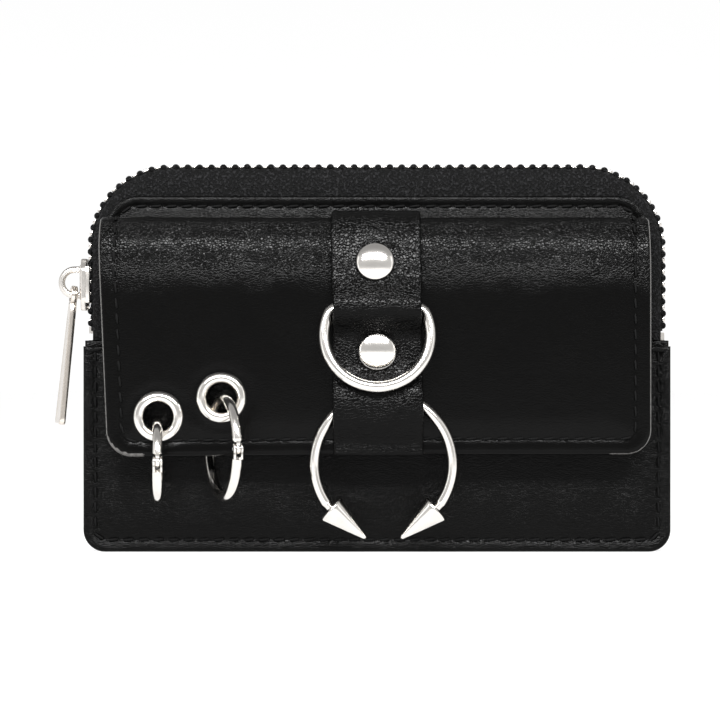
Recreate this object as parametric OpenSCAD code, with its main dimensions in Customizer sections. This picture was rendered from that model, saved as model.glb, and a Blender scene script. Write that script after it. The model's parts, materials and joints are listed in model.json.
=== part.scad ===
/* [Body] */
// Full width of the sewn lower body
body_w = 120; // [112:1:130]
// Half width of the panels beside the zip
upper_hw = 55.7; // [54:0.1:56]
// Height of the front and back panels
panel_h = 72.9; // [70:0.1:74]
// Height at which the side seam ends and the panels step in beside the zip
step_z = 43.3; // [42.6:0.1:44]
// Leather thickness
leather_t = 1.2; // [1.0:0.1:1.4]
// Depth that the back panel stands behind the seam
bulge = 9.2; // [8.8:0.1:9.8]
// Height of the front card pocket
pocket_h = 42; // [38:0.5:42.4]

/* [Flap] */
// Half width of the flap
flap_hw = 55.5; // [52:0.1:57]
// Height of the flap's lower edge above the base
flap_z0 = 20.2; // [19.8:0.1:21]
// Radius of the flap's lower corners
flap_r = 5; // [2:0.5:8]
// Width of the centre strap
strap_w = 18.2; // [14:0.2:18.4]

/* [Hardware] */
// Rivet cap diameter
rivet_d = 7.6; // [6:0.2:8.4]
// Eyelet outer diameter
eyelet_d = 10.2; // [9.4:0.2:10.6]
// Eyelet hole diameter
eyelet_hole = 5.9; // [5.7:0.1:6.2]
// Wire radius of the ring in the strap
d_wire = 1.15; // [0.9:0.05:1.2]
// Wire radius of the horseshoe barbell
bar_wire = 1.0; // [0.8:0.05:1.05]
// Radius of the barbell's centre line
bar_r = 13.85; // [13.5:0.05:14.3]
// Zip tooth pitch on one tape
pitch = 2.46; // [2.3:0.02:2.9]

/* [Hidden] */
$fn = 48;

hw = body_w / 2;
rb = 4.5;            // lower corner radius of the body
rt = 6.5;            // upper corner radius of the panels
seam_z = 38;         // top of the closed side seam
y_fp = -1.4;         // front face of the front panel
y_pk = -4.4;         // front face of the pocket
y_ff = -12.6;        // front face of the flap
y_fb = -10.4;        // back face of the flap lining
yc = 4.9;            // mid plane of the zip chain
chain_hw = 58.6;     // half width of the zip chain path
chain_z = 78.5;      // top of the zip chain path
chain_r = 16;        // corner radius of the zip chain path
chain_z0 = 44.6;     // lower ends of the zip
fold = [-7, 62.6];   // y, z of the flap's hinge line
fold_r = 5.6;

black = [0.03, 0.03, 0.03];
cloth = [0.06, 0.06, 0.07];
nickel = [0.80, 0.78, 0.75];

// ---- helpers -------------------------------------------------------------
// 2-D outline in x, z drawn in x, y and stood up so that its thickness runs from y0 to y1
module upright(y0, y1) translate([0, y1, 0]) rotate([90, 0, 0]) linear_extrude(y1 - y0) children();
// profile drawn in y, z and swept along x from x0 to x1
module along_x(x0, x1) translate([x0, 0, 0]) rotate([90, 0, 90]) linear_extrude(x1 - x0) children();
module cyl_y(x, y0, y1, z, r) translate([x, y1, z]) rotate([90, 0, 0]) cylinder(h = y1 - y0, r = r);
module blk(a, b) translate(a) cube(b - a);

// rounded at the bottom, straight at the top
module lower_shape(w, z0, z1, r) {
  translate([-w, z0 + r]) square([2 * w, z1 - z0 - r]);
  translate([-w + r, z0]) square([2 * w - 2 * r, r + 0.01]);
  for (s = [-1, 1]) translate([s * (w - r), z0 + r]) circle(r);
}
// rounded at the top, straight at the bottom
module upper_shape(w, z0, z1, r) {
  translate([-w, z0]) square([2 * w, z1 - z0 - r]);
  translate([-w + r, z1 - r - 0.01]) square([2 * w - 2 * r, r + 0.01]);
  for (s = [-1, 1]) translate([s * (w - r), z1 - r]) circle(r);
}
module panel_shape(inset = 0) {
  lower_shape(hw - inset, inset, step_z, rb - min(inset, 2));
  upper_shape(upper_hw - inset, step_z - 0.01, panel_h - inset, rt - min(inset, 2));
}

// half width of the panel at height z, inset by i
function lo_w(z, i) = let (r = rb - min(i, 2), w = hw - i, t = z - i) t >= r ? w : w - r + sqrt(max(0, r * r - (r - t) * (r - t)));
function up_w(z, i) = let (r = rt - min(i, 2), w = upper_hw - i, t = panel_h - i - z) t >= r ? w : w - r + sqrt(max(0, r * r - (r - t) * (r - t)));
function half_w(z, i) = z <= step_z ? lo_w(z, i) : up_w(z, i);
// distance from the closed seam, and how far the back panel has opened there
function seam_d(x, z) = min(z, z <= seam_z ? hw - abs(x) : norm([hw - abs(x), z - seam_z]));
function open_f(x, z) = let (t = min(1, max(0, seam_d(x, z)) / 11)) 1 - (1 - t) * (1 - t);
function y_in(x, z) = 0.65 + bulge * open_f(x, z);     // inner face of the back panel

// closed skin between two grids of points of equal size
module skin(a, b) {
  n = len(a); m = len(a[0]);
  pts = concat([for (r = a) each r], [for (r = b) each r]);
  o = n * m;
  function q(k, i, j) = k * o + i * m + j;
  faces = concat(
    [for (i = [0 : n - 2], j = [0 : m - 2]) each [[q(0, i, j), q(0, i, j + 1), q(0, i + 1, j + 1)], [q(0, i, j), q(0, i + 1, j + 1), q(0, i + 1, j)]]],
    [for (i = [0 : n - 2], j = [0 : m - 2]) each [[q(1, i, j), q(1, i + 1, j + 1), q(1, i, j + 1)], [q(1, i, j), q(1, i + 1, j), q(1, i + 1, j + 1)]]],
    [for (j = [0 : m - 2]) each [[q(0, 0, j), q(1, 0, j), q(1, 0, j + 1)], [q(0, 0, j), q(1, 0, j + 1), q(0, 0, j + 1)]]],
    [for (j = [0 : m - 2]) each [[q(0, n - 1, j), q(1, n - 1, j + 1), q(1, n - 1, j)], [q(0, n - 1, j), q(0, n - 1, j + 1), q(1, n - 1, j + 1)]]],
    [for (i = [0 : n - 2]) each [[q(0, i, 0), q(1, i + 1, 0), q(1, i, 0)], [q(0, i, 0), q(0, i + 1, 0), q(1, i + 1, 0)]]],
    [for (i = [0 : n - 2]) each [[q(0, i, m - 1), q(1, i, m - 1), q(1, i + 1, m - 1)], [q(0, i, m - 1), q(1, i + 1, m - 1), q(0, i + 1, m - 1)]]]);
  polyhedron(pts, faces, convexity = 6);
}
cols = [-1, -0.985, -0.96, -0.92, -0.87, -0.8, -0.6, -0.3, 0, 0.3, 0.6, 0.8, 0.87, 0.92, 0.96, 0.985, 1];
function rows(i) = concat([i, i + 0.5, i + 1.4, i + 2.6],
  [for (z = [5.6, 7.5, 10, 14, 22, 30, 36, 39, step_z - 0.3, step_z + 0.3, 47, 51, 57, 63]) if (z > i + 2.7 && z < panel_h - i - 5.1) z],
  [panel_h - i - 5, panel_h - i - 3, panel_h - i - 1.4, panel_h - i - 0.5, panel_h - i]);
module back_skin(i, y_off, t) {
  g = [for (z = rows(i)) [for (u = cols) let (x = u * half_w(z, i)) [x, y_in(x, z) + y_off, z]]];
  h = [for (z = rows(i)) [for (u = cols) let (x = u * half_w(z, i)) [x, y_in(x, z) + y_off + t, z]]];
  skin(h, g);
}

// ---- body ----------------------------------------------------------------
module back_panel() color(black) back_skin(0, 0, leather_t);
module back_lining() color(cloth) back_skin(6.5, -0.95, 0.4);
module front_panel() color(black) upright(y_fp, y_fp + leather_t) panel_shape();
module front_lining() color(cloth) upright(-0.18, 0.2) panel_shape(3.6);
module card_slot_panel() color(black) upright(6.6, 7.3) lower_shape(44, 14, 56, 3);
module card_slot_edge() color(black) {
  for (s = [-1, 1]) blk([s > 0 ? 41 : -43.8, 7.32, 18], [s > 0 ? 43.8 : -41, 8.8, 55.8]);
  blk([-40.8, 7.32, 14.2], [40.8, 8.8, 17]);
}
module seam_welt() color(black) {
  for (s = [-1, 1]) blk([s > 0 ? 57.4 : -59.8, -0.18, 5], [s > 0 ? 59.8 : -57.4, 0.6, seam_z]);
  blk([-55, -0.18, 0], [55, 0.6, 3.2]);
}
module pocket_panel() color(black) upright(y_pk, y_pk + leather_t) lower_shape(hw, 0, pocket_h, rb);
module pocket_lining() color(cloth) upright(-3.18, -2.85) lower_shape(hw - 0.6, 0.6, pocket_h - 0.6, 4);
module pocket_welt() color(black) {
  for (s = [-1, 1]) blk([s > 0 ? 57.2 : -59.8, -2.83, 4.8], [s > 0 ? 59.8 : -57.2, -1.42, pocket_h - 0.4]);
  blk([-55, -2.83, 0.1], [55, -1.42, 2.8]);
}
module snap_socket() color(nickel) difference() {
  cyl_y(0, -7.4, -4.42, 28.6, 7);
  cyl_y(0, -7.5, -6.0, 28.6, 3.2);
}
module snap_socket_washer() color(nickel) cyl_y(0, -2.83, -2.4, 28.6, 5);

// ---- zip -----------------------------------------------------------------
// points along a path that runs up the left side, over the top and down the right side,
// for half width w, top z1 and corner radius r; each is [x, z]
arc_n = 7;
function path(w, z1, r) = concat(
  [for (k = [0 : 4]) [-w, chain_z0 + (z1 - r - chain_z0) * k / 5]],
  [for (k = [0 : arc_n]) let (a = 180 - 90 * k / arc_n) [-(w - r) + r * cos(a), z1 - r + r * sin(a)]],
  [for (k = [1 : 9]) [-(w - r) + 2 * (w - r) * k / 10, z1]],
  [for (k = [0 : arc_n]) let (a = 90 - 90 * k / arc_n) [(w - r) + r * cos(a), z1 - r + r * sin(a)]],
  [for (k = [4 : -1 : 0]) [w, chain_z0 + (z1 - r - chain_z0) * k / 5]]);
function mixp(p, q, t) = [for (i = [0 : len(p) - 1]) p[i] * (1 - t) + q[i] * t];
inner_path = path(upper_hw - 3.1, panel_h - 3.1, rt - 2);
edge_path = path(upper_hw + 0.3, panel_h + 0.3, rt + 1.5);
chain_path = path(chain_hw, chain_z, chain_r);
out_path = path(chain_hw + 0.25, chain_z + 0.25, chain_r + 0.25);
in_path = path(chain_hw - 0.25, chain_z - 0.25, chain_r - 0.25);
tape_t = 0.42;
module zip_tape_front() color(cloth) {
  mid = mixp(edge_path, chain_path, 0.55);
  rowa = [for (i = [0 : len(chain_path) - 1]) [
    [inner_path[i][0], -0.16, inner_path[i][1]], [edge_path[i][0], -0.16, edge_path[i][1]], [mid[i][0], 0.15, mid[i][1]],
    [out_path[i][0], 1.0, out_path[i][1]], [out_path[i][0], yc - 2.46, out_path[i][1]]]];
  rowb = [for (i = [0 : len(chain_path) - 1]) [
    [inner_path[i][0], -0.16 + tape_t, inner_path[i][1]], [edge_path[i][0], -0.16 + tape_t, edge_path[i][1]], [mid[i][0], 0.15 + tape_t + 0.1, mid[i][1]],
    [in_path[i][0], 1.0 + 0.5, in_path[i][1]], [in_path[i][0], yc - 2.46, in_path[i][1]]]];
  skin(rowb, rowa);
}
function yb(p) = y_in(p[0], p[1]) - 0.06;
function ym(i) = yb(edge_path[i]) * 0.55 + (yc + 3.9) * 0.45;
module zip_tape_back() color(cloth) {
  mid = mixp(edge_path, chain_path, 0.55);
  rowa = [for (i = [0 : len(chain_path) - 1]) [
    [inner_path[i][0], yb(inner_path[i]), inner_path[i][1]], [edge_path[i][0], yb(edge_path[i]), edge_path[i][1]], [mid[i][0], max(ym(i), 5.0), mid[i][1]],
    [out_path[i][0], yc + 3.9, out_path[i][1]], [out_path[i][0], yc + 2.46, out_path[i][1]]]];
  rowb = [for (i = [0 : len(chain_path) - 1]) [
    [inner_path[i][0], yb(inner_path[i]) - tape_t + 0.02, inner_path[i][1]], [edge_path[i][0], yb(edge_path[i]) - tape_t, edge_path[i][1]], [mid[i][0], max(ym(i), 5.0) - tape_t - 0.1, mid[i][1]],
    [in_path[i][0], yc + 3.4, in_path[i][1]], [in_path[i][0], yc + 2.46, in_path[i][1]]]];
  skin(rowa, rowb);
}
// station s along the chain, as [x, z, turn]: turn is the outward normal's angle from +z towards +x
s_side = chain_z - chain_r - chain_z0;
s_arc = chain_r * PI / 2;
s_top = 2 * (chain_hw - chain_r);
s_all = 2 * s_side + 2 * s_arc + s_top;
function station(s) =
  s < s_side ? [-chain_hw, chain_z0 + s, -90] :
  s < s_side + s_arc ? let (a = (s - s_side) / chain_r * 180 / PI) [-(chain_hw - chain_r) - chain_r * cos(a), chain_z - chain_r + chain_r * sin(a), a - 90] :
  s < s_side + s_arc + s_top ? [-(chain_hw - chain_r) + s - s_side - s_arc, chain_z, 0] :
  s < s_side + 2 * s_arc + s_top ? let (a = (s - s_side - s_arc - s_top) / chain_r * 180 / PI) [(chain_hw - chain_r) + chain_r * sin(a), chain_z - chain_r + chain_r * cos(a), a] :
  [chain_hw, chain_z - chain_r - (s - s_side - 2 * s_arc - s_top), 90];
module tooth(s, side) {
  p = station(s);
  translate([p[0], yc, p[1]]) rotate([0, p[2], 0])
    blk([-0.55, side < 0 ? -2.44 : -0.4, -0.85], [0.55, side < 0 ? 0.4 : 2.44, 0.85]);
}
// the chain is closed above the slider's wedge, and open for the last teeth below it
closed_s = 8.4;
n_teeth = floor((s_all - closed_s - 2.2) / pitch);
module zip_teeth_front() color(nickel) {
  for (k = [0 : n_teeth]) tooth(closed_s + k * pitch, -1);
  for (s = [2.6, 5.0]) translate([-chain_hw, yc - 0.62, chain_z0 + s]) rotate([0, -90, 0]) blk([-0.55, -1.82, -0.85], [0.55, -0.3, 0.85]);
}
module zip_teeth_back() color(nickel) {
  for (k = [0 : n_teeth - 1]) tooth(closed_s + (k + 0.5) * pitch, 1);
  for (s = [2.6, 5.0]) translate([-chain_hw, yc + 0.62, chain_z0 + s]) rotate([0, -90, 0]) blk([-0.55, 0.3, -0.85], [0.55, 1.82, 0.85]);
}
module zip_stops() color(nickel) {
  for (s = [-1, 1]) blk([-chain_hw - 0.95, yc + (s > 0 ? 0.6 : -2.44), chain_z0 + 0.1], [-chain_hw + 0.95, yc + (s > 0 ? 2.44 : -0.6), chain_z0 + 1.5]);
  blk([chain_hw - 0.95, yc - 2.44, chain_z0 - 1.4], [chain_hw + 0.95, yc + 2.44, chain_z0 + 0.3]);
}
module zip_tab(s) blk([s > 0 ? 55.4 : -59.8, 0.3, 39.6], [s > 0 ? 59.8 : -55.4, 3.4, 43.1]);
module zip_tab_left() color(black) zip_tab(-1);
module zip_tab_right() color(black) zip_tab(1);

// ---- slider and pull -----------------------------------------------------
sl_z0 = 49.4; sl_z1 = 60.2;
crown = [-62.8, 55.3];   // x, z of the crown's centre
crown_r = 2.7; crown_w = 0.7;
module slider_plate(x0, x1) translate([x0, yc, 0]) rotate([90, 0, 90]) linear_extrude(x1 - x0) {
  translate([-3.6, sl_z0 + 1.6]) square([7.2, sl_z1 - sl_z0 - 3.2]);
  translate([-2.0, sl_z0]) square([4.0, sl_z1 - sl_z0]);
  for (a = [-1, 1], z = [sl_z0 + 1.6, sl_z1 - 1.6]) translate([a * 2.0, z]) circle(1.6);
}
module slider_body() color(nickel) {
  slider_plate(-61.2, -60.0);
  slider_plate(-57.2, -56.2);
  for (s = [-1, 1]) blk([-60.05, yc + (s > 0 ? 2.95 : -3.6), sl_z0 + 1.7], [-59.35, yc + (s > 0 ? 3.6 : -2.95), sl_z1 - 1.7]);
  translate([-60.05, yc, sl_z0 + 1.0]) rotate([0, 90, 0]) cylinder(h = 2.9, r = 0.62);
}
module slider_crown() color(nickel) {
  for (a = [90, 180]) translate([crown[0], yc, crown[1]]) rotate([90, 0, 0]) rotate([0, 0, a]) rotate_extrude(angle = 90) translate([crown_r, 0]) circle(crown_w, $fn = 32);
  for (s = [-1, 1]) translate([crown[0] - 0.01, yc, crown[1] + s * crown_r]) rotate([0, 90, 0]) cylinder(h = -61.22 - crown[0], r = crown_w, $fn = 32);
}
pull_lean = 6; pull_twist = 15;
module pull_tab() color(nickel)
  translate([crown[0], yc, crown[1]]) rotate([0, pull_lean, 0]) rotate([0, 0, pull_twist]) difference() {
    translate([0.65, 0, 0]) rotate([0, -90, 0]) linear_extrude(1.3) {
      translate([-crown_r, 0]) circle(2.05);
      polygon([[-crown_r, -2.05], [-crown_r, 2.05], [-6, 2.0], [-28.4, 3.6], [-29.4, 3.2], [-29.6, 2.6], [-29.6, -2.6], [-29.4, -3.2], [-28.4, -3.6], [-6, -2.0]]);
    }
    translate([-2, 0, -crown_r]) rotate([0, 90, 0]) cylinder(h = 4, r = 1.28);
  }

// ---- flap ----------------------------------------------------------------
module ring_sector(r0, r1, a0, a1) {
  n = 20;
  difference() {
    circle(r1);
    circle(r0);
    polygon(concat([[0, 0]], [for (k = [0 : n]) let (a = a1 + (360 + a0 - a1) * k / n) 20 * [cos(a), sin(a)]]));
  }
}
// the fold runs from the front panel over the top to the flap; in y, z
module flap_fold() color(black) along_x(-flap_hw, flap_hw) {
  difference() {
    translate(fold) circle(fold_r - 0.04);
    translate(fold) circle(3.4);
    translate([fold[0] - 10, fold[1] - 20]) square([20, 20]);
  }
  translate([fold[0] + 3.4, 55.5]) square([fold_r - 0.04 - 3.4, fold[1] - 55.5 + 0.01]);
}
module strap_fold() color(black) along_x(-strap_w / 2, strap_w / 2)
  translate(fold) difference() {
    circle(fold_r + 1.22);
    circle(fold_r + 0.02);
    translate([-10, -20]) square([20, 20]);
    polygon([[0, 0], [20, -1], [20, 22], [1.6, 22]]);
  }
module flap_shape(inset = 0) lower_shape(flap_hw - inset, flap_z0 + inset, fold[1] - 0.1, flap_r - inset / 2);
ey_l = [-44.0, 27.8]; ey_r = [-31.35, 31.6];
rv1 = 59.2 - 0.6; rv2 = 40.8;
snap_z = 28.6;
module eyelet_holes(y0, y1, r) for (e = [ey_l, ey_r]) cyl_y(e[0], y0, y1, e[1], r);
module rivet_holes(y0, y1) for (z = [rv1, rv2]) cyl_y(0, y0, y1, z, 1.35);
module flap_panel() color(black) difference() {
  upright(y_ff, y_ff + leather_t) flap_shape();
  eyelet_holes(-14, -9, eyelet_hole / 2 + 0.62);
  rivet_holes(-14, -9);
}
module flap_lining() color(black) difference() {
  upright(-11.38, y_fb) flap_shape(0.4);
  eyelet_holes(-14, -9, eyelet_hole / 2 + 0.62);
  rivet_holes(-14, -9);
}
// side profile of the strap in y, z: flat at the rivets, raised over the ring's bar and over the barbell
d_bar = [-14.2, 49.6];
module strap_profile() polygon([
  [-12.63, flap_z0], [-12.63, 23.0], [-13.4, 24.3], [-15.08, 26.4], [-15.08, 33.6], [-13.4, 35.4], [-12.63, 36.4],
  [-12.63, 45.6], [-13.4, 46.2], [-15.6, 47.2], [-16.55, 49.6], [-15.6, 52.0], [-13.4, 53.0], [-12.63, 53.6], [-12.63, 62.5],
  [-13.83, 62.5], [-13.83, 54.3], [-14.3, 54.1], [-16.4, 53.1], [-17.75, 49.6], [-16.4, 46.1], [-14.3, 45.1], [-13.83, 44.9],
  [-13.83, 36.9], [-14.5, 36.0], [-16.28, 34.1], [-16.28, 25.9], [-14.5, 23.6], [-13.83, 22.6], [-13.83, flap_z0]]);
module strap() color(black) difference() {
  along_x(-strap_w / 2, strap_w / 2) strap_profile();
  rivet_holes(-18, -9);
  // room inside both edges for the ring's shoulders as it swings
  for (s = [-1, 1]) along_x(s > 0 ? 8.55 : -9.3, s > 0 ? 9.3 : -8.55) polygon([for (k = [0 : 11]) d_bar + 2.95 * [cos(30 * k + 15), sin(30 * k + 15)]]);
}
module rivet_cap(z) {
  translate([0, -13.9, z]) rotate([90, 0, 0]) rotate_extrude() difference() {
    intersection() { translate([0, -4.9]) circle(6.7, $fn = 64); square([rivet_d / 2, 3]); }
  }
  cyl_y(0, -13.95, -10.2, z, 1.28);
}
module rivet_back(z) difference() { cyl_y(0, -10.38, -9.5, z, rivet_d / 2 - 0.6); cyl_y(0, -10.5, -10.15, z, 1.3); }
module rivet_cap_upper() color(nickel) rivet_cap(rv1);
module rivet_cap_lower() color(nickel) rivet_cap(rv2);
module rivet_back_upper() color(nickel) rivet_back(rv1);
module rivet_back_lower() color(nickel) rivet_back(rv2);

// eyelet: rolled flange in front, barrel through the flap; the washer closes it behind
module eyelet(e) translate([e[0], y_ff - 0.02, e[1]]) rotate([90, 0, 0]) rotate_extrude() {
  intersection() {
    translate([(eyelet_hole + eyelet_d) / 4, -0.55]) circle((eyelet_d - eyelet_hole) / 4 + 0.45);
    translate([eyelet_hole / 2, 0]) square([(eyelet_d - eyelet_hole) / 2, 2]);
  }
  translate([eyelet_hole / 2, -2.5]) square([0.55, 2.6]);
}
module eyelet_washer(e) difference() {
  cyl_y(e[0], y_fb + 0.02, y_fb + 0.4, e[1], eyelet_d / 2 - 0.3);
  cyl_y(e[0], y_fb - 1, y_fb + 2, e[1], eyelet_hole / 2 + 0.6);
}
module eyelet_left() color(nickel) eyelet(ey_l);
module eyelet_right() color(nickel) eyelet(ey_r);
module eyelet_washer_left() color(nickel) eyelet_washer(ey_l);
module eyelet_washer_right() color(nickel) eyelet_washer(ey_r);
module snap_stud() color(nickel) { cyl_y(0, -10.38, -7.55, snap_z, 7); cyl_y(0, -7.6, -6.3, snap_z, 2.7); }

// ---- ring under the strap -------------------------------------------------
d_tilt = 12.5; d_r = 10.65; d_c = 2.6; d_l = 0.4; d_h = (d_r - d_c) * cos(18) - d_l * sin(18); d_s = d_c + (d_r - d_c) * sin(18) + d_l * cos(18);
module wire_bend(r, w, a) rotate_extrude(angle = a) translate([r, 0]) circle(w, $fn = 32);
module d_ring() color(nickel) translate([0, d_bar[0], d_bar[1]]) rotate([-d_tilt, 0, 0]) rotate([90, 0, 0]) {
  // bow, two corners and the straight bar; a short collar joins bow and corner at each shoulder
  translate([0, -d_s, 0]) rotate([0, 0, 162]) wire_bend(d_r, d_wire, 216);
  for (s = [-1, 1]) translate([s * d_r * cos(18), d_r * sin(18) - d_s, 0]) rotate([0, 0, s * 18]) translate([0, -0.3, 0])
    rotate([-90, 0, 0]) cylinder(h = d_l + 0.6, r = d_wire + 0.06, $fn = 32);
  translate([d_h, -d_c, 0]) rotate([0, 0, 18]) wire_bend(d_c, d_wire, 72);
  translate([-d_h, -d_c, 0]) rotate([0, 0, 90]) wire_bend(d_c, d_wire, 72);
  translate([-d_h - 0.01, 0, 0]) rotate([0, 90, 0]) cylinder(h = 2 * d_h + 0.02, r = d_wire, $fn = 32);
}

// ---- horseshoe barbell ----------------------------------------------------
bb = [1.22, -13.85, 18.4]; bb_end = 129.5;
module barbell_ring() color(nickel) translate(bb) rotate([90, 0, 0]) {
  rotate([0, 0, 90 - bb_end]) rotate_extrude(angle = 2 * bb_end, $fn = 96) translate([bar_r, 0]) circle(bar_wire, $fn = 32);
}
module spike(s) translate(bb) rotate([90, 0, 0]) rotate([0, 0, s * (90 - bb_end) + (s > 0 ? 0 : 180)])
  translate([bar_r, 0, 0]) rotate([s > 0 ? 90 : -90, 0, 0]) rotate([0, -10.3, 0]) translate([0, 0, 0.05]) difference() {
    rotate_extrude() polygon([[0, 0], [2.75, 0], [2.95, 0.25], [2.95, 0.5], [0.45, 9.0], [0.2, 9.25], [0, 9.3]]);
  }
module barbell_spike_left() color(nickel) spike(-1);
module barbell_spike_right() color(nickel) spike(1);

// ---- hinged hoops ---------------------------------------------------------
// local frame: x across the wire, y towards the back, z up, centre at the hoop's centre
up_w0 = 0.8; lo_w0 = 1.05;
hl_c = [-44.1, -13.35, 19.1]; hl_r = 7.5; hl_turn = 5;
hr_c = [-30.8, -14.87, 21.75]; hr_r = 9.75; hr_turn = 20;
module hoop_place(c, turn) translate(c) rotate([0, 0, turn]) children();
// arc in the local y, z plane; angle 0 is the back, 90 the top, 180 the front
module hoop_arc(r, w, a0, a1) rotate([0, 90, 0]) rotate([0, 0, 90]) rotate([0, 0, a0]) rotate_extrude(angle = a1 - a0, $fn = 72) translate([r, 0]) circle(w, $fn = 32);
module hoop_upper(c, r, turn) hoop_place(c, turn) difference() {
  union() {
    hoop_arc(r, up_w0, 2, 180 - 1.75 / r * 180 / PI);
    translate([-0.4, -r, 0]) rotate([0, 90, 0]) cylinder(h = 0.8, r = 1.0, $fn = 32);
    blk([-0.4, -r - 0.5, 0], [0.4, -r + 0.6, 2.3]);
  }
  translate([-3, -r, 0]) rotate([0, 90, 0]) cylinder(h = 6, r = 0.42, $fn = 32);
}
module hoop_pin(c, r, turn) hoop_place(c, turn) translate([-1.25, -r, 0]) rotate([0, 90, 0]) cylinder(h = 2.5, r = 0.38, $fn = 32);
module hoop_gate(c, r, turn) hoop_place(c, turn) difference() {
  union() {
    hoop_arc(r, lo_w0, 180, 358);
    translate([-1.1, -r, 0]) rotate([0, 90, 0]) cylinder(h = 2.2, r = 1.2, $fn = 32);
  }
  translate([-0.5, -r, 0]) rotate([0, 90, 0]) cylinder(h = 1.0, r = 1.45, $fn = 32);
  blk([-0.5, -r - 1.5, -0.1], [0.5, -r + 1.5, 2]);
  translate([-3, -r, 0]) rotate([0, 90, 0]) cylinder(h = 6, r = 0.42, $fn = 32);
}
module hoop_left_upper() color(nickel) hoop_upper(hl_c, hl_r, hl_turn);
module hoop_left_pin() color(nickel) hoop_pin(hl_c, hl_r, hl_turn);
module hoop_left_gate() color(nickel) hoop_gate(hl_c, hl_r, hl_turn);
module hoop_right_upper() color(nickel) hoop_upper(hr_c, hr_r, hr_turn);
module hoop_right_pin() color(nickel) hoop_pin(hr_c, hr_r, hr_turn);
module hoop_right_gate() color(nickel) hoop_gate(hr_c, hr_r, hr_turn);

seam_welt();
back_panel();
back_lining();
front_panel();
front_lining();
card_slot_panel();
card_slot_edge();
pocket_panel();
pocket_lining();
pocket_welt();
zip_tape_front();
zip_tape_back();
zip_teeth_front();
zip_teeth_back();
zip_stops();
zip_tab_left();
zip_tab_right();
snap_socket();
snap_socket_washer();
flap_fold();
strap_fold();
flap_panel();
flap_lining();
strap();
rivet_cap_upper();
rivet_cap_lower();
rivet_back_upper();
rivet_back_lower();
eyelet_left();
eyelet_right();
eyelet_washer_left();
eyelet_washer_right();
snap_stud();
d_ring();
barbell_ring();
barbell_spike_left();
barbell_spike_right();
hoop_left_upper();
hoop_left_pin();
hoop_left_gate();
hoop_right_upper();
hoop_right_pin();
hoop_right_gate();
slider_body();
slider_crown();
pull_tab();
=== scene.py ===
import json
import math

import bmesh
import bpy
import numpy as np
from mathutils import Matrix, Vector, noise


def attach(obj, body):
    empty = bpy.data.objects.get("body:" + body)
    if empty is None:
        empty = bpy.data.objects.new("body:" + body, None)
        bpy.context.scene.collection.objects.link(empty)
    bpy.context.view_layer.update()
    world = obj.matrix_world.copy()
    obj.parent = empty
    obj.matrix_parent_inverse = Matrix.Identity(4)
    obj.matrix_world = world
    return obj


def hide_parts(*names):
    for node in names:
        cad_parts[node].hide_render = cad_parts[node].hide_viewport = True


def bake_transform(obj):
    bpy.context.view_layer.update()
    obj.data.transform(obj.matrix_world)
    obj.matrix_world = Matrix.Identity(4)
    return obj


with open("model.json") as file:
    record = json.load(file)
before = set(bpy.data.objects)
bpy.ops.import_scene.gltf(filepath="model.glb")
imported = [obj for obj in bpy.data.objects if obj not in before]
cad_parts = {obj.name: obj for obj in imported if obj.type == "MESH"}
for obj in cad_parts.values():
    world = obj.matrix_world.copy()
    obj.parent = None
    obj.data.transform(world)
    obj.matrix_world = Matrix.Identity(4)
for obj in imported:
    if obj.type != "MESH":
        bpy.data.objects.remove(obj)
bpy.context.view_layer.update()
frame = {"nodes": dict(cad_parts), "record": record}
S = 0.001
REC = {m["slot"]: m for m in frame["record"].get("materials", [])}


# ------------------------------------------------------------------ materials
def new_mat(name):
    m = bpy.data.materials.new(name)
    m.use_nodes = True
    nt = m.node_tree
    nt.nodes.clear()
    out = nt.nodes.new("ShaderNodeOutputMaterial")
    b = nt.nodes.new("ShaderNodeBsdfPrincipled")
    nt.links.new(b.outputs["BSDF"], out.inputs["Surface"])
    return m, nt, b


def node(nt, kind, **kw):
    n = nt.nodes.new(kind)
    for k, v in kw.items():
        if k in n.inputs:
            n.inputs[k].default_value = v
        else:
            setattr(n, k, v)
    return n


def ramp(nt, src, stops):
    r = nt.nodes.new("ShaderNodeValToRGB")
    e = r.color_ramp.elements
    e[0].position, e[0].color = stops[0][0], stops[0][1]
    e[1].position, e[1].color = stops[-1][0], stops[-1][1]
    for p, c in stops[1:-1]:
        x = e.new(p)
        x.color = c
    nt.links.new(src, r.inputs["Fac"])
    return r.outputs["Color"]


def grey(v):
    return (v, v, v, 1)


def mathn(nt, op, a, b=None, clamp=False):
    n = nt.nodes.new("ShaderNodeMath")
    n.operation = op
    n.use_clamp = clamp
    for i, v in enumerate((a, b)):
        if v is None:
            continue
        if isinstance(v, (int, float)):
            n.inputs[i].default_value = v
        else:
            nt.links.new(v, n.inputs[i])
    return n.outputs[0]


def coords(nt, scale=(1, 1, 1)):
    tc = nt.nodes.new("ShaderNodeTexCoord")
    mp = nt.nodes.new("ShaderNodeMapping")
    mp.inputs["Scale"].default_value = scale
    nt.links.new(tc.outputs["Object"], mp.inputs["Vector"])
    return mp.outputs["Vector"]


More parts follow.
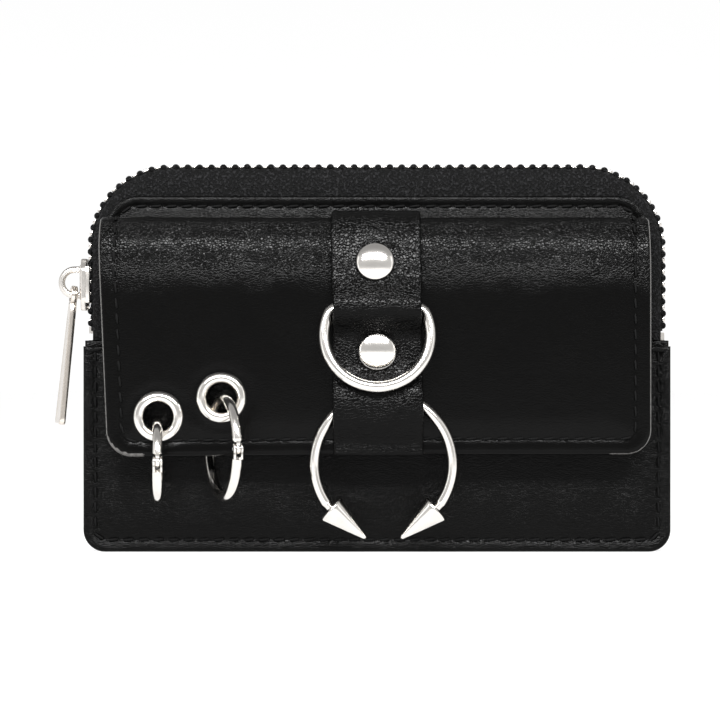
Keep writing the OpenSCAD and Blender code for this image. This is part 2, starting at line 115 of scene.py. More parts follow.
def leather(name, base=0.0009, rough=0.17, grain=1.0, size=1.0, calm=None):
    """Black grained leather: pebbles about 0.45 mm across with creases between them, over faint pores and softer waves."""
    m, nt, b = new_mat(name)
    v = coords(nt)
    warp = node(nt, "ShaderNodeTexNoise", Scale=900 / size, Detail=2.0)
    nt.links.new(v, warp.inputs["Vector"])
    wv = nt.nodes.new("ShaderNodeVectorMath")
    wv.operation = "SCALE"
    wv.inputs["Scale"].default_value = 0.0006 * size
    nt.links.new(warp.outputs["Color"], wv.inputs[0])
    add = nt.nodes.new("ShaderNodeVectorMath")
    add.operation = "ADD"
    nt.links.new(v, add.inputs[0])
    nt.links.new(wv.outputs[0], add.inputs[1])
    vor = node(nt, "ShaderNodeTexVoronoi", feature="DISTANCE_TO_EDGE", Scale=2100 / size, Randomness=1.0)
    nt.links.new(add.outputs[0], vor.inputs["Vector"])
    peb = mathn(nt, "MULTIPLY", vor.outputs["Distance"], 4.5, clamp=True)
    peb = mathn(nt, "POWER", peb, 0.6)
    vor2 = node(nt, "ShaderNodeTexVoronoi", feature="F1", Scale=1150 / size, Randomness=1.0)
    nt.links.new(add.outputs[0], vor2.inputs["Vector"])
    fine = node(nt, "ShaderNodeTexNoise", Scale=6500 / size, Detail=2.0)
    nt.links.new(v, fine.inputs["Vector"])
    soft = node(nt, "ShaderNodeTexNoise", Scale=160, Detail=3.0)
    nt.links.new(v, soft.inputs["Vector"])
    h = mathn(nt, "ADD", mathn(nt, "MULTIPLY", peb, 0.62), mathn(nt, "MULTIPLY", vor2.outputs["Distance"], -0.35))
    h = mathn(nt, "ADD", h, mathn(nt, "MULTIPLY", fine.outputs["Fac"], 0.05))
    # the grain fades in and out over a few millimetres, as on pressed leather
    fade = ramp(nt, soft.outputs["Fac"], [(0.30, grey(0.65)), (0.66, grey(1.0))])
    h = mathn(nt, "MULTIPLY", h, fade)
    if calm:
        # the grain is pressed flat below this height and opens where the leather bends
        zz = nt.nodes.new("ShaderNodeSeparateXYZ")
        nt.links.new(v, zz.inputs[0])
        up = mathn(nt, "MULTIPLY", mathn(nt, "SUBTRACT", mathn(nt, "ADD", zz.outputs[2], mathn(nt, "MULTIPLY", soft.outputs["Fac"], 0.004)), calm[0]), 1 / calm[1], clamp=True)
        h = mathn(nt, "MULTIPLY", h, mathn(nt, "ADD", mathn(nt, "MULTIPLY", up, 1 - calm[2]), calm[2]))
    bump = node(nt, "ShaderNodeBump", Strength=grain, Distance=0.000125)
    nt.links.new(h, bump.inputs["Height"])
    wave = node(nt, "ShaderNodeBump", Strength=0.12, Distance=0.0004)
    nt.links.new(soft.outputs["Fac"], wave.inputs["Height"])
    nt.links.new(wave.outputs["Normal"], bump.inputs["Normal"])
    nt.links.new(bump.outputs["Normal"], b.inputs["Normal"])
    big = node(nt, "ShaderNodeTexNoise", Scale=45, Detail=4.0)
    nt.links.new(v, big.inputs["Vector"])
    # Base colour: random tone from the large noise, multiplied by the pebble height, so the creases between pebbles are
    # darker: painted shade in the creases over the leather's random tone.
    tone_and_crease_shade = mathn(nt, "MULTIPLY", big.outputs["Fac"], peb)
    col = ramp(nt, tone_and_crease_shade, [(0.1, (base * 0.62, base * 0.60, base * 0.58, 1)), (0.75, (base * 1.35, base * 1.31, base * 1.25, 1))])
    nt.links.new(col, b.inputs["Base Color"])
    rr = ramp(nt, mathn(nt, "ADD", mathn(nt, "MULTIPLY", big.outputs["Fac"], 0.6), mathn(nt, "MULTIPLY", peb, 0.4)),
              [(0.2, grey(rough + 0.05)), (0.8, grey(rough - 0.04))])
    nt.links.new(rr, b.inputs["Roughness"])
    b.inputs["Specular IOR Level"].default_value = 0.085
    return m


def edge_paint_and_highlight():
    m, nt, b = new_mat("edge_paint_and_highlight")
    v = coords(nt)
    n = node(nt, "ShaderNodeTexNoise", Scale=1400, Detail=4.0)
    nt.links.new(v, n.inputs["Vector"])
    # Far lighter than the black leather: real edge paint, lightened to stand in for the highlight along the bevelled
    # edge (painted highlight).
    nt.links.new(ramp(nt, n.outputs["Fac"], [(0.3, (0.034, 0.032, 0.030, 1)), (0.75, (0.075, 0.071, 0.066, 1))]), b.inputs["Base Color"])
    nt.links.new(ramp(nt, n.outputs["Fac"], [(0.3, grey(0.22)), (0.75, grey(0.38))]), b.inputs["Roughness"])
    bp = node(nt, "ShaderNodeBump", Strength=0.25, Distance=0.0001)
    nt.links.new(n.outputs["Fac"], bp.inputs["Height"])
    nt.links.new(bp.outputs["Normal"], b.inputs["Normal"])
    b.inputs["Specular IOR Level"].default_value = 0.6
    return m


def woven(name, base, per_mm=2.2, rough=0.85, strength=0.9):
    """Plain weave: threads over and under each other, with fuzz."""
    m, nt, b = new_mat(name)
    v = coords(nt)
    sep = nt.nodes.new("ShaderNodeSeparateXYZ")
    nt.links.new(v, sep.inputs[0])
    k = per_mm * 1000 * math.pi
    u = mathn(nt, "SINE", mathn(nt, "MULTIPLY", mathn(nt, "ADD", sep.outputs[0], mathn(nt, "MULTIPLY", sep.outputs[1], 0.6)), k))
    w = mathn(nt, "SINE", mathn(nt, "MULTIPLY", mathn(nt, "ADD", sep.outputs[2], mathn(nt, "MULTIPLY", sep.outputs[1], 0.8)), k))
    weave = mathn(nt, "ADD", mathn(nt, "MULTIPLY", mathn(nt, "MULTIPLY", u, w), 0.5), 0.5)
    n = node(nt, "ShaderNodeTexNoise", Scale=1900, Detail=2.0, Roughness=0.6)
    nt.links.new(v, n.inputs["Vector"])
    fuzz = ramp(nt, n.outputs["Fac"], [(0.38, grey(0.0)), (0.64, grey(1.0))])
    h = mathn(nt, "ADD", mathn(nt, "MULTIPLY", weave, 0.35), mathn(nt, "MULTIPLY", fuzz, 0.9))
    bp = node(nt, "ShaderNodeBump", Strength=strength, Distance=0.00022)
    nt.links.new(h, bp.inputs["Height"])
    nt.links.new(bp.outputs["Normal"], b.inputs["Normal"])
    # Base colour follows the bump's height: raised threads and fuzz are painted lighter (painted highlight) and the
    # dips between threads darker (painted shade), over random fuzz speckle.
    lo = tuple(c * 0.35 for c in base) + (1,)
    hi = tuple(c * 5.0 for c in base) + (1,)
    nt.links.new(ramp(nt, h, [(0.62, lo), (1.0, hi)]), b.inputs["Base Color"])
    b.inputs["Roughness"].default_value = rough
    b.inputs["Specular IOR Level"].default_value = 0.08
    b.inputs["Sheen Weight"].default_value = 0.01
    b.inputs["Sheen Roughness"].default_value = 0.5
    return m


def thread():
    m, nt, b = new_mat("thread")
    v = coords(nt)
    w = node(nt, "ShaderNodeTexWave", Scale=900, Distortion=2.0)
    nt.links.new(v, w.inputs["Vector"])
    bp = node(nt, "ShaderNodeBump", Strength=0.5, Distance=0.0001)
    nt.links.new(w.outputs["Fac"], bp.inputs["Height"])
    nt.links.new(bp.outputs["Normal"], b.inputs["Normal"])
    # Base colour follows the twist's height from the bump: lighter on the ridges (painted highlight) and darker in the
    # grooves between plies (painted shade).
    nt.links.new(ramp(nt, w.outputs["Fac"], [(0.2, (0.0012, 0.0012, 0.0012, 1)), (0.8, (0.004, 0.004, 0.004, 1))]), b.inputs["Base Color"])
    b.inputs["Roughness"].default_value = 0.75
    b.inputs["Specular IOR Level"].default_value = 0.08
    return m


def metal(name, col, rough=0.08, wear=0.05, warm=0.0, brushed=False):
    """Plated metal: faint haze, tiny scratches and slightly darker plating in places."""
    m, nt, b = new_mat(name)
    v = coords(nt, (1, 1, 6) if brushed else (1, 1, 1))
    n = node(nt, "ShaderNodeTexNoise", Scale=420, Detail=5.0, Roughness=0.6)
    nt.links.new(v, n.inputs["Vector"])
    sc = node(nt, "ShaderNodeTexNoise", Scale=3600, Detail=2.0)
    nt.links.new(v, sc.inputs["Vector"])
    c0 = tuple(c * 0.90 for c in col) + (1,)
    c1 = tuple(min(1, c * 1.03) for c in col) + (1,)
    nt.links.new(ramp(nt, n.outputs["Fac"], [(0.3, c0), (0.7, c1)]), b.inputs["Base Color"])
    nt.links.new(ramp(nt, n.outputs["Fac"], [(0.3, grey(rough + wear)), (0.72, grey(rough))]), b.inputs["Roughness"])
    bp = node(nt, "ShaderNodeBump", Strength=0.10 if not brushed else 0.25, Distance=0.00003)
    nt.links.new(sc.outputs["Fac"], bp.inputs["Height"])
    nt.links.new(bp.outputs["Normal"], b.inputs["Normal"])
    b.inputs["Metallic"].default_value = 1.0
    return m


M_LEATHER = leather("leather_black", grain=0.5, size=0.85)
M_FLAP = leather("leather_flap", rough=0.17, grain=1.0, size=1.0, calm=(0.0545, 0.008, 0.14))
M_STRAP = leather("leather_strap", rough=0.16, grain=0.85, size=1.2)
M_EDGE = edge_paint_and_highlight()
M_LINING = woven("lining_cloth", (0.022, 0.022, 0.024), per_mm=2.0, rough=0.8)
M_TAPE = woven("tape_weave", (0.0015, 0.0015, 0.0016), per_mm=1.6, rough=0.62, strength=1.0)
M_THREAD = thread()
M_NICKEL = metal("nickel", (0.71, 0.685, 0.65), 0.12, 0.05)
M_ZIP = metal("zip_nickel", (0.66, 0.63, 0.595), 0.17, 0.10)
M_PULL = metal("pull_nickel", (0.68, 0.625, 0.565), 0.15, 0.08)
M_STEEL = metal("steel_satin", (0.55, 0.55, 0.55), 0.26, 0.12, brushed=True)


# ------------------------------------------------------------------ mesh helpers
def make(name, verts, faces, mats, body=None, replaces=(), angle=40, idx=None, flip_check=True):
    """verts in mm; the piece rides on the body unless body is None."""
    me = bpy.data.meshes.new(name)
    me.from_pydata([(float(a) * S, float(b) * S, float(c) * S) for a, b, c in verts], [], [list(map(int, f)) for f in faces])
    for m in mats if isinstance(mats, (list, tuple)) else [mats]:
        me.materials.append(m)
    if idx is not None:
        me.polygons.foreach_set("material_index", np.asarray(idx, dtype=np.int32))
    me.validate()
    if flip_check:
        bm = bmesh.new()
        bm.from_mesh(me)
        bmesh.ops.recalc_face_normals(bm, faces=bm.faces)
        bm.to_mesh(me)
        bm.free()
    me.shade_smooth()
    me.set_sharp_from_angle(angle=math.radians(angle))
    ob = bpy.data.objects.new(name, me)
    bpy.context.scene.collection.objects.link(ob)
    if replaces:
        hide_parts(*replaces)
    if body:
        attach(ob, body)
    return ob


def slab(front, back, hide=None):
    """Closed skin between two equal grids (n, m, 3). Returns verts, faces, and 1 for the faces of the cut edge."""
    n, m = front.shape[:2]
    V = np.concatenate([front.reshape(-1, 3), back.reshape(-1, 3)])
    o = n * m
    F, I = [], []
    for i in range(n - 1):
        for j in range(m - 1):
            a = i * m + j
            if hide is not None and (hide[i, j] or hide[i + 1, j] or hide[i, j + 1] or hide[i + 1, j + 1]):
                continue
            F.append((a, a + 1, a + m + 1, a + m)); I.append(0)
            F.append((o + a, o + a + m, o + a + m + 1, o + a + 1)); I.append(0)
    for j in range(m - 1):
        F.append((j, o + j, o + j + 1, j + 1)); I.append(1)
        a = (n - 1) * m + j
        F.append((a, a + 1, o + a + 1, o + a)); I.append(1)
    for i in range(n - 1):
        a = i * m
        F.append((a, a + m, o + a + m, o + a)); I.append(1)
        a = i * m + m - 1
        F.append((a, o + a, o + a + m, a + m)); I.append(1)
    return V, F, I


def nz(x, y, z, scale, seed=0.0):
    return noise.noise(Vector((x / scale + seed, y / scale + seed * 1.7, z / scale - seed)))


def bevel(d, r):
    return r - math.sqrt(max(0.0, r * r - (r - d) ** 2)) if d < r else 0.0


def sd_rect(x, z, x0, x1, z0, z1, rb, rt):
    """Distance inside a rectangle with lower corner radius rb and upper corner radius rt."""
    r = rb if z < (z0 + z1) / 2 else rt
    cx, hx = (x0 + x1) / 2, (x1 - x0) / 2
    cz, hz = (z0 + z1) / 2, (z1 - z0) / 2
    qx, qz = abs(x - cx) - (hx - r), abs(z - cz) - (hz - r)
    return -(min(max(qx, qz), 0) + math.hypot(max(qx, 0), max(qz, 0)) - r)


EDGE = [0, 0.04, 0.12, 0.26, 0.45, 0.7, 1.05, 1.45, 1.85, 2.2, 2.5, 2.8, 3.1, 3.4, 3.7, 4.1, 4.7]


def spread(w, n):
    """x positions from -w to w, dense along the edges."""
    e = EDGE
    mid = np.linspace(-w + e[-1], w - e[-1], n + 2)[1:-1]
    return np.concatenate([[-w + o for o in e], mid, [w - o for o in reversed(e)]])


def zrows(z0, z1, step, lo=True, hi=True, extra=()):
    e = EDGE
    a = [z0 + o for o in e] if lo else [z0]
    b = [z1 - o for o in e] if hi else [z1]
    s, t = a[-1], b[-1]
    n = max(1, int((t - s) / step))
    zs = sorted(set([round(v, 4) for v in a + b + list(np.linspace(s, t, n + 1)) + list(extra)]))
    return zs


# capsule used for every stitch
def _capsule(L, r, seg=8):
    prof = [(-0.5, 0.0), (-0.47, 0.45), (-0.38, 0.85), (-0.2, 1.0), (0.2, 1.0), (0.38, 0.85), (0.47, 0.45), (0.5, 0.0)]
    V, F = [], []
    for t, k in prof:
        for s in range(seg):
            a = 2 * math.pi * s / seg
            V.append((t * L, math.cos(a) * k * r, math.sin(a) * k * r))
    for i in range(len(prof) - 1):
        for s in range(seg):
            s2 = (s + 1) % seg
            F.append((i * seg + s, i * seg + s2, (i + 1) * seg + s2, (i + 1) * seg + s))
    return np.array(V), F


def stitches(name, items, body, L=2.25, r=0.27, slant=5.0, parent=None):
    """items: list of (point, tangent, outward normal) in mm."""
    cv, cf = _capsule(L, r)
    V, F = [], []
    for k, (p, t, n) in enumerate(items):
        p, t, n = Vector(p), Vector(t).normalized(), Vector(n).normalized()
        s = n.cross(t).normalized()
        a = math.radians(slant + 2.5 * nz(k * 1.37, 0, 0, 1.0, 3.1))
        t2 = t * math.cos(a) + s * math.sin(a)
        s2 = n.cross(t2)
        arch = []
        for c in cv:
            dip = -0.16 * (2 * c[0] / L) ** 2 - 0.0
            q = p + t2 * c[0] + s2 * c[1] + n * (c[2] * 0.85 + dip)
            arch.append((q.x, q.y, q.z))
        o = len(V)
        V += arch
        F += [tuple(o + i for i in f) for f in cf]
    return make(name, V, F, M_THREAD, body, angle=80, flip_check=False)


def along(points, pitch, start=0.5):
    """Even stations along a polyline: (point, tangent)."""
    P = [Vector(p) for p in points]
    L = [0]
    for a, b in zip(P, P[1:]):
        L.append(L[-1] + (b - a).length)
    n = max(1, round(L[-1] / pitch))
    out = []
    for k in range(n):
        s = (k + start) * L[-1] / n
        i = max(j for j in range(len(L) - 1) if L[j] <= s + 1e-9)
        f = (s - L[i]) / max(1e-9, L[i + 1] - L[i])
        out.append((P[i].lerp(P[i + 1], f), (P[i + 1] - P[i]).normalized()))
    return out


def u_line(x, z0, z1, r, n=8):
    """A U-shaped line in x, z: down the left side, along the bottom and up the right side."""
    pts = [(-x, z1)]
    for k in range(n + 1):
        a = math.pi + (math.pi / 2) * k / n
        pts.append((-x + r + r * math.cos(a), z0 + r + r * math.sin(a)))
    for k in range(n + 1):
        a = 1.5 * math.pi + (math.pi / 2) * k / n
        pts.append((x - r + r * math.cos(a), z0 + r + r * math.sin(a)))
    pts.append((x, z1))
    return pts


def lathe(profile, seg=64, closed=False):
    """profile: (radius, height) pairs; returns verts about +Z."""
    V, F = [], []
    n = len(profile)
    for r, h in profile:
        for s in range(seg):
            a = 2 * math.pi * s / seg
            V.append((r * math.cos(a), r * math.sin(a), h))
    rng = n if closed else n - 1
    for i in range(rng):
        for s in range(seg):
            s2 = (s + 1) % seg
            i2 = (i + 1) % n
            F.append((i * seg + s, i * seg + s2, i2 * seg + s2, i2 * seg + s))
    return np.array(V), F


def to_axis(V, pos, axis):
    """Turns +Z onto axis and moves to pos."""
    q = Vector((0, 0, 1)).rotation_difference(Vector(axis))
    R = np.array(q.to_matrix())
    return V @ R.T + np.array(pos)


def tube(path, radius, seg=20, closed=False, ends=True):
    """Swept round wire; radius is a number or one per point."""
    P = np.array(path, dtype=float)
    n = len(P)
    R = np.full(n, radius) if np.isscalar(radius) else np.array(radius)
    T = np.zeros_like(P)
    for i in range(n):
        a = P[(i - 1) % n] if (closed or i > 0) else P[i]
        b = P[(i + 1) % n] if (closed or i < n - 1) else P[i]
        T[i] = (b - a) / np.linalg.norm(b - a)
    # parallel transport
    ref = np.array([0, 0, 1.0]) if abs(T[0][2]) < 0.9 else np.array([1.0, 0, 0])
    N = np.cross(T[0], ref)
    N /= np.linalg.norm(N)
    V, F = [], []
    for i in range(n):
        N = N - T[i] * np.dot(N, T[i])
        N /= np.linalg.norm(N)
        B = np.cross(T[i], N)
        for s in range(seg):
            a = 2 * math.pi * s / seg
            V.append(P[i] + R[i] * (math.cos(a) * N + math.sin(a) * B))
    for i in range(n if closed else n - 1):
        i2 = (i + 1) % n
        for s in range(seg):
            s2 = (s + 1) % seg
            F.append((i * seg + s, i * seg + s2, i2 * seg + s2, i2 * seg + s))
    if ends and not closed:
        F.append(tuple(range(seg)))
        F.append(tuple((n - 1) * seg + s for s in range(seg)))
    return np.array(V), F


def join(parts):
    V, F = [], []
    o = 0
    for v, f in parts:
        V.append(np.asarray(v, dtype=float))
        F += [tuple(int(o + i) for i in g) for g in f]
        o += len(v)
    return np.concatenate(V), F


def rounded_box(a, b, r, k=3):
    """Box with rounded edges: a cube grid pushed onto a rounded shape."""
    a, b = np.array(a, float), np.array(b, float)
    c, h = (a + b) / 2, (b - a) / 2
    r = min(r, *(h * 0.999))
    bm = bmesh.new()
    bmesh.ops.create_cube(bm, size=2)
    bmesh.ops.scale(bm, vec=Vector(h - 0), verts=bm.verts)
    bmesh.ops.bevel(bm, geom=bm.edges[:] , offset=r, segments=k, profile=0.5, affect="EDGES")
    V = np.array([v.co[:] for v in bm.verts]) + c
    bm.verts.index_update()
    F = [tuple(v.index for v in f.verts) for f in bm.faces]
    bm.free()
    return V, F


# ------------------------------------------------------------------ sizes shared with the CAD model, in mm
HW, UPPER, PANEL_H, STEP, SEAM_Z = 60.0, 55.7, 72.9, 43.3, 38.0
RB, RT, BULGE, YC = 4.5, 6.5, 9.2, 4.9
CH_W, CH_Z, CH_R, CH_Z0 = 58.6, 78.5, 16.0, 44.6
FLAP_HW, FLAP_Z0, FLAP_R, FOLD_Y, FOLD_Z, FOLD_R = 55.8, 20.2, 5.0, -7.0, 62.6, 5.6
EY_L, EY_R = (-44.0, 27.8), (-31.35, 31.6)
RV1, RV2 = 58.6, 40.8


def half_w(z):
    if z <= STEP:
        return HW if z >= RB else HW - RB + math.sqrt(max(0, RB * RB - (RB - z) ** 2))
    t = PANEL_H - z
    return UPPER if t >= RT else UPPER - RT + math.sqrt(max(0, RT * RT - (RT - t) ** 2))


def y_in(x, z):
    d = min(z, HW - abs(x) if z <= SEAM_Z else math.hypot(HW - abs(x), z - SEAM_Z))
    t = min(1.0, max(0.0, d) / 11)
    return 0.65 + BULGE * (1 - (1 - t) ** 2)


# ------------------------------------------------------------------ body panels
def pucker(d, s, inset, pitch=3.1, depth=0.20):
    """The leather is drawn in along a row of stitches, most at each hole, and stands up again towards the edge."""
    g = math.exp(-((d - inset) / 0.40) ** 2)
    side = math.exp(-((d - inset) / (1.1 if d < inset else 2.4)) ** 2)
    return g * depth * (0.65 + 0.35 * math.cos(2 * math.pi * s / pitch)) + side * 0.22


def run(x, z):
    return z if abs(x) > 50 else x


def front_panel():
    zs = zrows(0, PANEL_H, 1.3, extra=(STEP - 0.5, STEP - 0.1, STEP + 0.1, STEP + 0.5))
    A, B = [], []
    for z in zs:
        ra, rb = [], []
        for x in spread(half_w(z), 84):
            d = max(sd_rect(x, z, -HW, HW, 0, STEP, RB, 0.6), sd_rect(x, z, -UPPER, UPPER, 20, PANEL_H, 0.5, RT))
            g = pucker(d, run(x, z), 2.1) if z > 40 else 0.0
            rim = 0.10 * math.exp(-((d - 1.0) / 0.7) ** 2) if z > 40 else 0.0
            wav = 0.10 * nz(x, 0, z, 22, 1.0)
            bv = bevel(max(d, 0), 0.55)
            ra.append((x, -1.4 + bv + g - rim + wav, z))
            rb.append((x, -0.2 - bevel(max(d, 0), 0.4), z))
        A.append(ra); B.append(rb)
    V, F, I = slab(np.array(A), np.array(B))
    return make("front_panel_leather", V, F, [M_LEATHER, M_EDGE], "purse", replaces=("front_panel",), idx=I)


def pocket_panel():
    zs = zrows(0, 42, 1.0)
    A, B = [], []
    for z in zs:
        ra, rb = [], []
        w = HW if z >= RB else HW - RB + math.sqrt(max(0, RB * RB - (RB - z) ** 2))
        for x in spread(w, 104):
            d = sd_rect(x, z, -HW, HW, 0, 42, RB, 0.6)
            du = min(HW - abs(x), z) if z > RB else d
            g = pucker(d if z < 30 else HW - abs(x), run(x, z), 2.5)
            wav = 0.16 * nz(x, 0, z, 30, 4.0) + 0.05 * nz(x, 0, z, 8, 2.0)
            puff = -0.16 * min(1, max(0, du - 3) / 8)
            bv = bevel(max(d, 0), 0.5)
            ra.append((x, -4.4 + bv + g + (wav + puff) * min(1, max(0, d) / 2), z))
            rb.append((x, -3.2 - bevel(max(d, 0), 0.4), z))
        A.append(ra); B.append(rb)
    V, F, I = slab(np.array(A), np.array(B))
    return make("pocket_leather", V, F, [M_LEATHER, M_EDGE], "purse", replaces=("pocket_panel",), idx=I)


def back_panel():
    zs = zrows(0, PANEL_H, 1.3, extra=(SEAM_Z, STEP - 0.5, STEP - 0.1, STEP + 0.1, STEP + 0.5))
    A, B = [], []
    for z in zs:
        ra, rb = [], []
        for x in spread(half_w(z), 84):
            d = max(sd_rect(x, z, -HW, HW, 0, STEP, RB, 0.6), sd_rect(x, z, -UPPER, UPPER, 20, PANEL_H, 0.5, RT))
            y = y_in(x, z)
            wav = (0.35 * nz(x, 0, z, 26, 7.0) + 0.10 * nz(x, 0, z, 8, 5.0)) * min(1, max(0, d) / 6)
            g = pucker(d, run(x, z), 2.5)
            ra.append((x, y + bevel(max(d, 0), 0.4), z))
            rb.append((x, y + 1.2 - bevel(max(d, 0), 0.55) - g + wav, z))
        A.append(ra); B.append(rb)
    V, F, I = slab(np.array(A), np.array(B))
    return make("back_panel_leather", V, F, [M_LEATHER, M_EDGE], "purse", replaces=("back_panel",), idx=I)


front_panel()
pocket_panel()
back_panel()

u = u_line(57.5, 2.5, 41.4, 2.4)
stitches("pocket_stitches", [((p.x, -4.36, p.y), (t.x, 0, t.y), (0, -1, 0)) for p, t in along(u, 3.1)], "purse")
# bar tacks at the pocket's upper corners
tack = []
for s in (-1, 1):
    for k in range(5):
        tack.append(((s * (56.6 + 0.45 * k), -4.5, 41.35 - 0.05 * k), (1, 0, 0.35), (0, -1, 0)))
stitches("pocket_tacks", tack, "purse", L=1.7, r=0.24, slant=0)


def top_line(w, z0, z1, r, n=10):
    pts = [(-w, z0)]
    for k in range(n + 1):
        a = math.pi - (math.pi / 2) * k / n
        pts.append((-w + r + r * math.cos(a), z1 - r + r * math.sin(a)))
    for k in range(n + 1):
        a = math.pi / 2 - (math.pi / 2) * k / n
        pts.append((w - r + r * math.cos(a), z1 - r + r * math.sin(a)))
    pts.append((w, z0))
    return pts


ft = top_line(UPPER - 2.1, STEP + 1, PANEL_H - 2.1, RT - 2.0)
stitches("front_top_stitches", [((p.x, -1.36, p.y), (t.x, 0, t.y), (0, -1, 0)) for p, t in along(ft, 3.1)], "purse")


def back_stitch_items():
    out = []
    line = along(u_line(57.5, 2.5, 41.0, 2.4), 3.1) + along(ft, 3.1)
    for p, t in line:
        y = y_in(p.x, p.y) + 1.2
        e = 0.4
        gx = (y_in(p.x + e, p.y) - y_in(p.x - e, p.y)) / (2 * e)
        gz = (y_in(p.x, p.y + e) - y_in(p.x, p.y - e)) / (2 * e)
        n = Vector((-gx, 1, -gz)).normalized()
        tt = Vector((t.x, gx * t.x + gz * t.y, t.y)).normalized()
        out.append(((p.x, y - 0.06, p.y), tt, n))
    return out


stitches("back_stitches", back_stitch_items(), "purse")


# ------------------------------------------------------------------ flap: one leather from the sewn root over the fold to the free edge
FT = 2.2


def flap_edges(z):
    """x of the left and right edges at height z, before the corners are rounded."""
    t = min(1, max(0, (z - FLAP_Z0) / 43))
    return -(54.3 + 1.9 * t), 55.1


CREST, ELL = 68.2, 13.0


def fold_point(a):
    """The front of the fold is a quarter of an ellipse, flat at its foot and round at the crest: y, z and normal."""
    y, z = FOLD_Y + FOLD_R * math.cos(a), CREST - ELL + ELL * math.sin(a)
    ny, nzv = math.cos(a) / FOLD_R, math.sin(a) / ELL
    m = math.hypot(ny, nzv)
    return y, z, ny / m, nzv / m


def flap_path():
    """Rows of the flap: (outer y, z, normal y, normal z, distance to the free end, arc position)."""
    rows = []
    for z in zrows(FLAP_Z0, CREST - ELL, 0.95, hi=False):
        rows.append((-12.6, z, -1, 0, z - FLAP_Z0, z))
    s = CREST - ELL
    last = None
    for k in range(0, 27):
        y, z, ny, nzv = fold_point(math.pi - (math.pi / 2) * k / 26)
        if last:
            s += math.hypot(y - last[0], z - last[1])
        last = (y, z)
        if k:
            rows.append((y, z, ny, nzv, 99, s))
    for k in range(1, 16):
        a = math.pi / 2 - (math.pi / 2) * k / 16
        rows.append((FOLD_Y + FOLD_R * math.cos(a), FOLD_Z + FOLD_R * math.sin(a), math.cos(a), math.sin(a), 99, s + FOLD_R * (math.pi / 2) * k / 16))
    for z in [FOLD_Z, 61, 59.5, 58, 56.8, 56.2, 55.9, 55.7, 55.5]:
        rows.append((-1.42, z, 1, 0, 99, 200 + FOLD_Z - z))
    return rows


def flap_relief(x, s, y, z):
    front = 1 if s < FOLD_Z + 9 else 0
    w = 0.10 * nz(x, 0, s, 34, 9.0) + 0.02 * nz(x, 0, s, 9, 6.0)
    # soft creases where the leather bends, running along the fold
    c = 0.045 * nz(x, 0, s * 3.2, 11, 12.0) * math.exp(-((s - 64) / 5.0) ** 2)
    # it is drawn down beside the strap and round the metal
    b = -0.10 * math.exp(-((abs(x) - 10.5) / 2.2) ** 2)
    for ex, ez in (EY_L, EY_R):
        r = math.hypot(x - ex, s - ez)
        b += -0.14 * math.exp(-((r - 5.6) / 0.9) ** 2)
    return (w + c) * front + b * front


def flap():
    A, B, hide = [], [], []
    for y, z, ny, nzv, de, s in flap_path():
        xl, xr = flap_edges(min(z, FOLD_Z) if s < 90 else FOLD_Z)
        full = (xr - xl) / 2
        cx = (xr + xl) / 2
        w = full
        if de < FLAP_R:
            w = full - FLAP_R + math.sqrt(max(0, FLAP_R ** 2 - (FLAP_R - de) ** 2))
        ra, rb, rh = [], [], []
        for x0 in spread(w, 100):
            x = cx + x0
            d = sd_rect(x, z, xl, xr, FLAP_Z0, 200, FLAP_R, 1) if s < 50 else min(xr - x, x - xl)
            if s > 200:
                d = min(d, 207.1 - s)
            d = max(0.0, d)
            g = pucker(d, s if abs(x) > 50 else x, 3.2, depth=0.17) if s < FOLD_Z + 16 else 0
            rel = flap_relief(x, s, y, z) * min(1, d / 2.5)
            off = rel - g - bevel(d, 0.8)
            sag = -0.55 * max(0, -x / 56) * max(0, 1 - de / 26)
            ra.append((x, y + ny * off, z + nzv * off + sag))
            inn = -FT + bevel(d, 0.8)
            rb.append((x, y + ny * inn, z + nzv * inn + sag))
            hit = any(math.hypot(x - ex, z - ez) < 3.5 for ex, ez in (EY_L, EY_R)) and s < 50
            rh.append(hit)
        A.append(ra); B.append(rb); hide.append(rh)
    V, F, I = slab(np.array(A), np.array(B), np.array(hide))
    # the edge material wraps a little way onto the front; its lighter colour there is a painted highlight along the
    # bevelled edge
    for q, f in enumerate(F):
        cx, cy, cz = (sum(V[i][k] for i in f) / len(f) for k in range(3))
        xl, xr = flap_edges(cz)
        if cy < -7 and (abs(cx) > 47 or cz > 24) and sd_rect(cx, cz, xl, xr, FLAP_Z0, 200, FLAP_R, 1) < 0.26:
            I[q] = 1
    ob = make("flap_leather", V, F, [M_FLAP, M_EDGE], None, replaces=("flap_panel", "flap_lining", "flap_fold"), idx=I)
    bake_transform(ob)


flap()


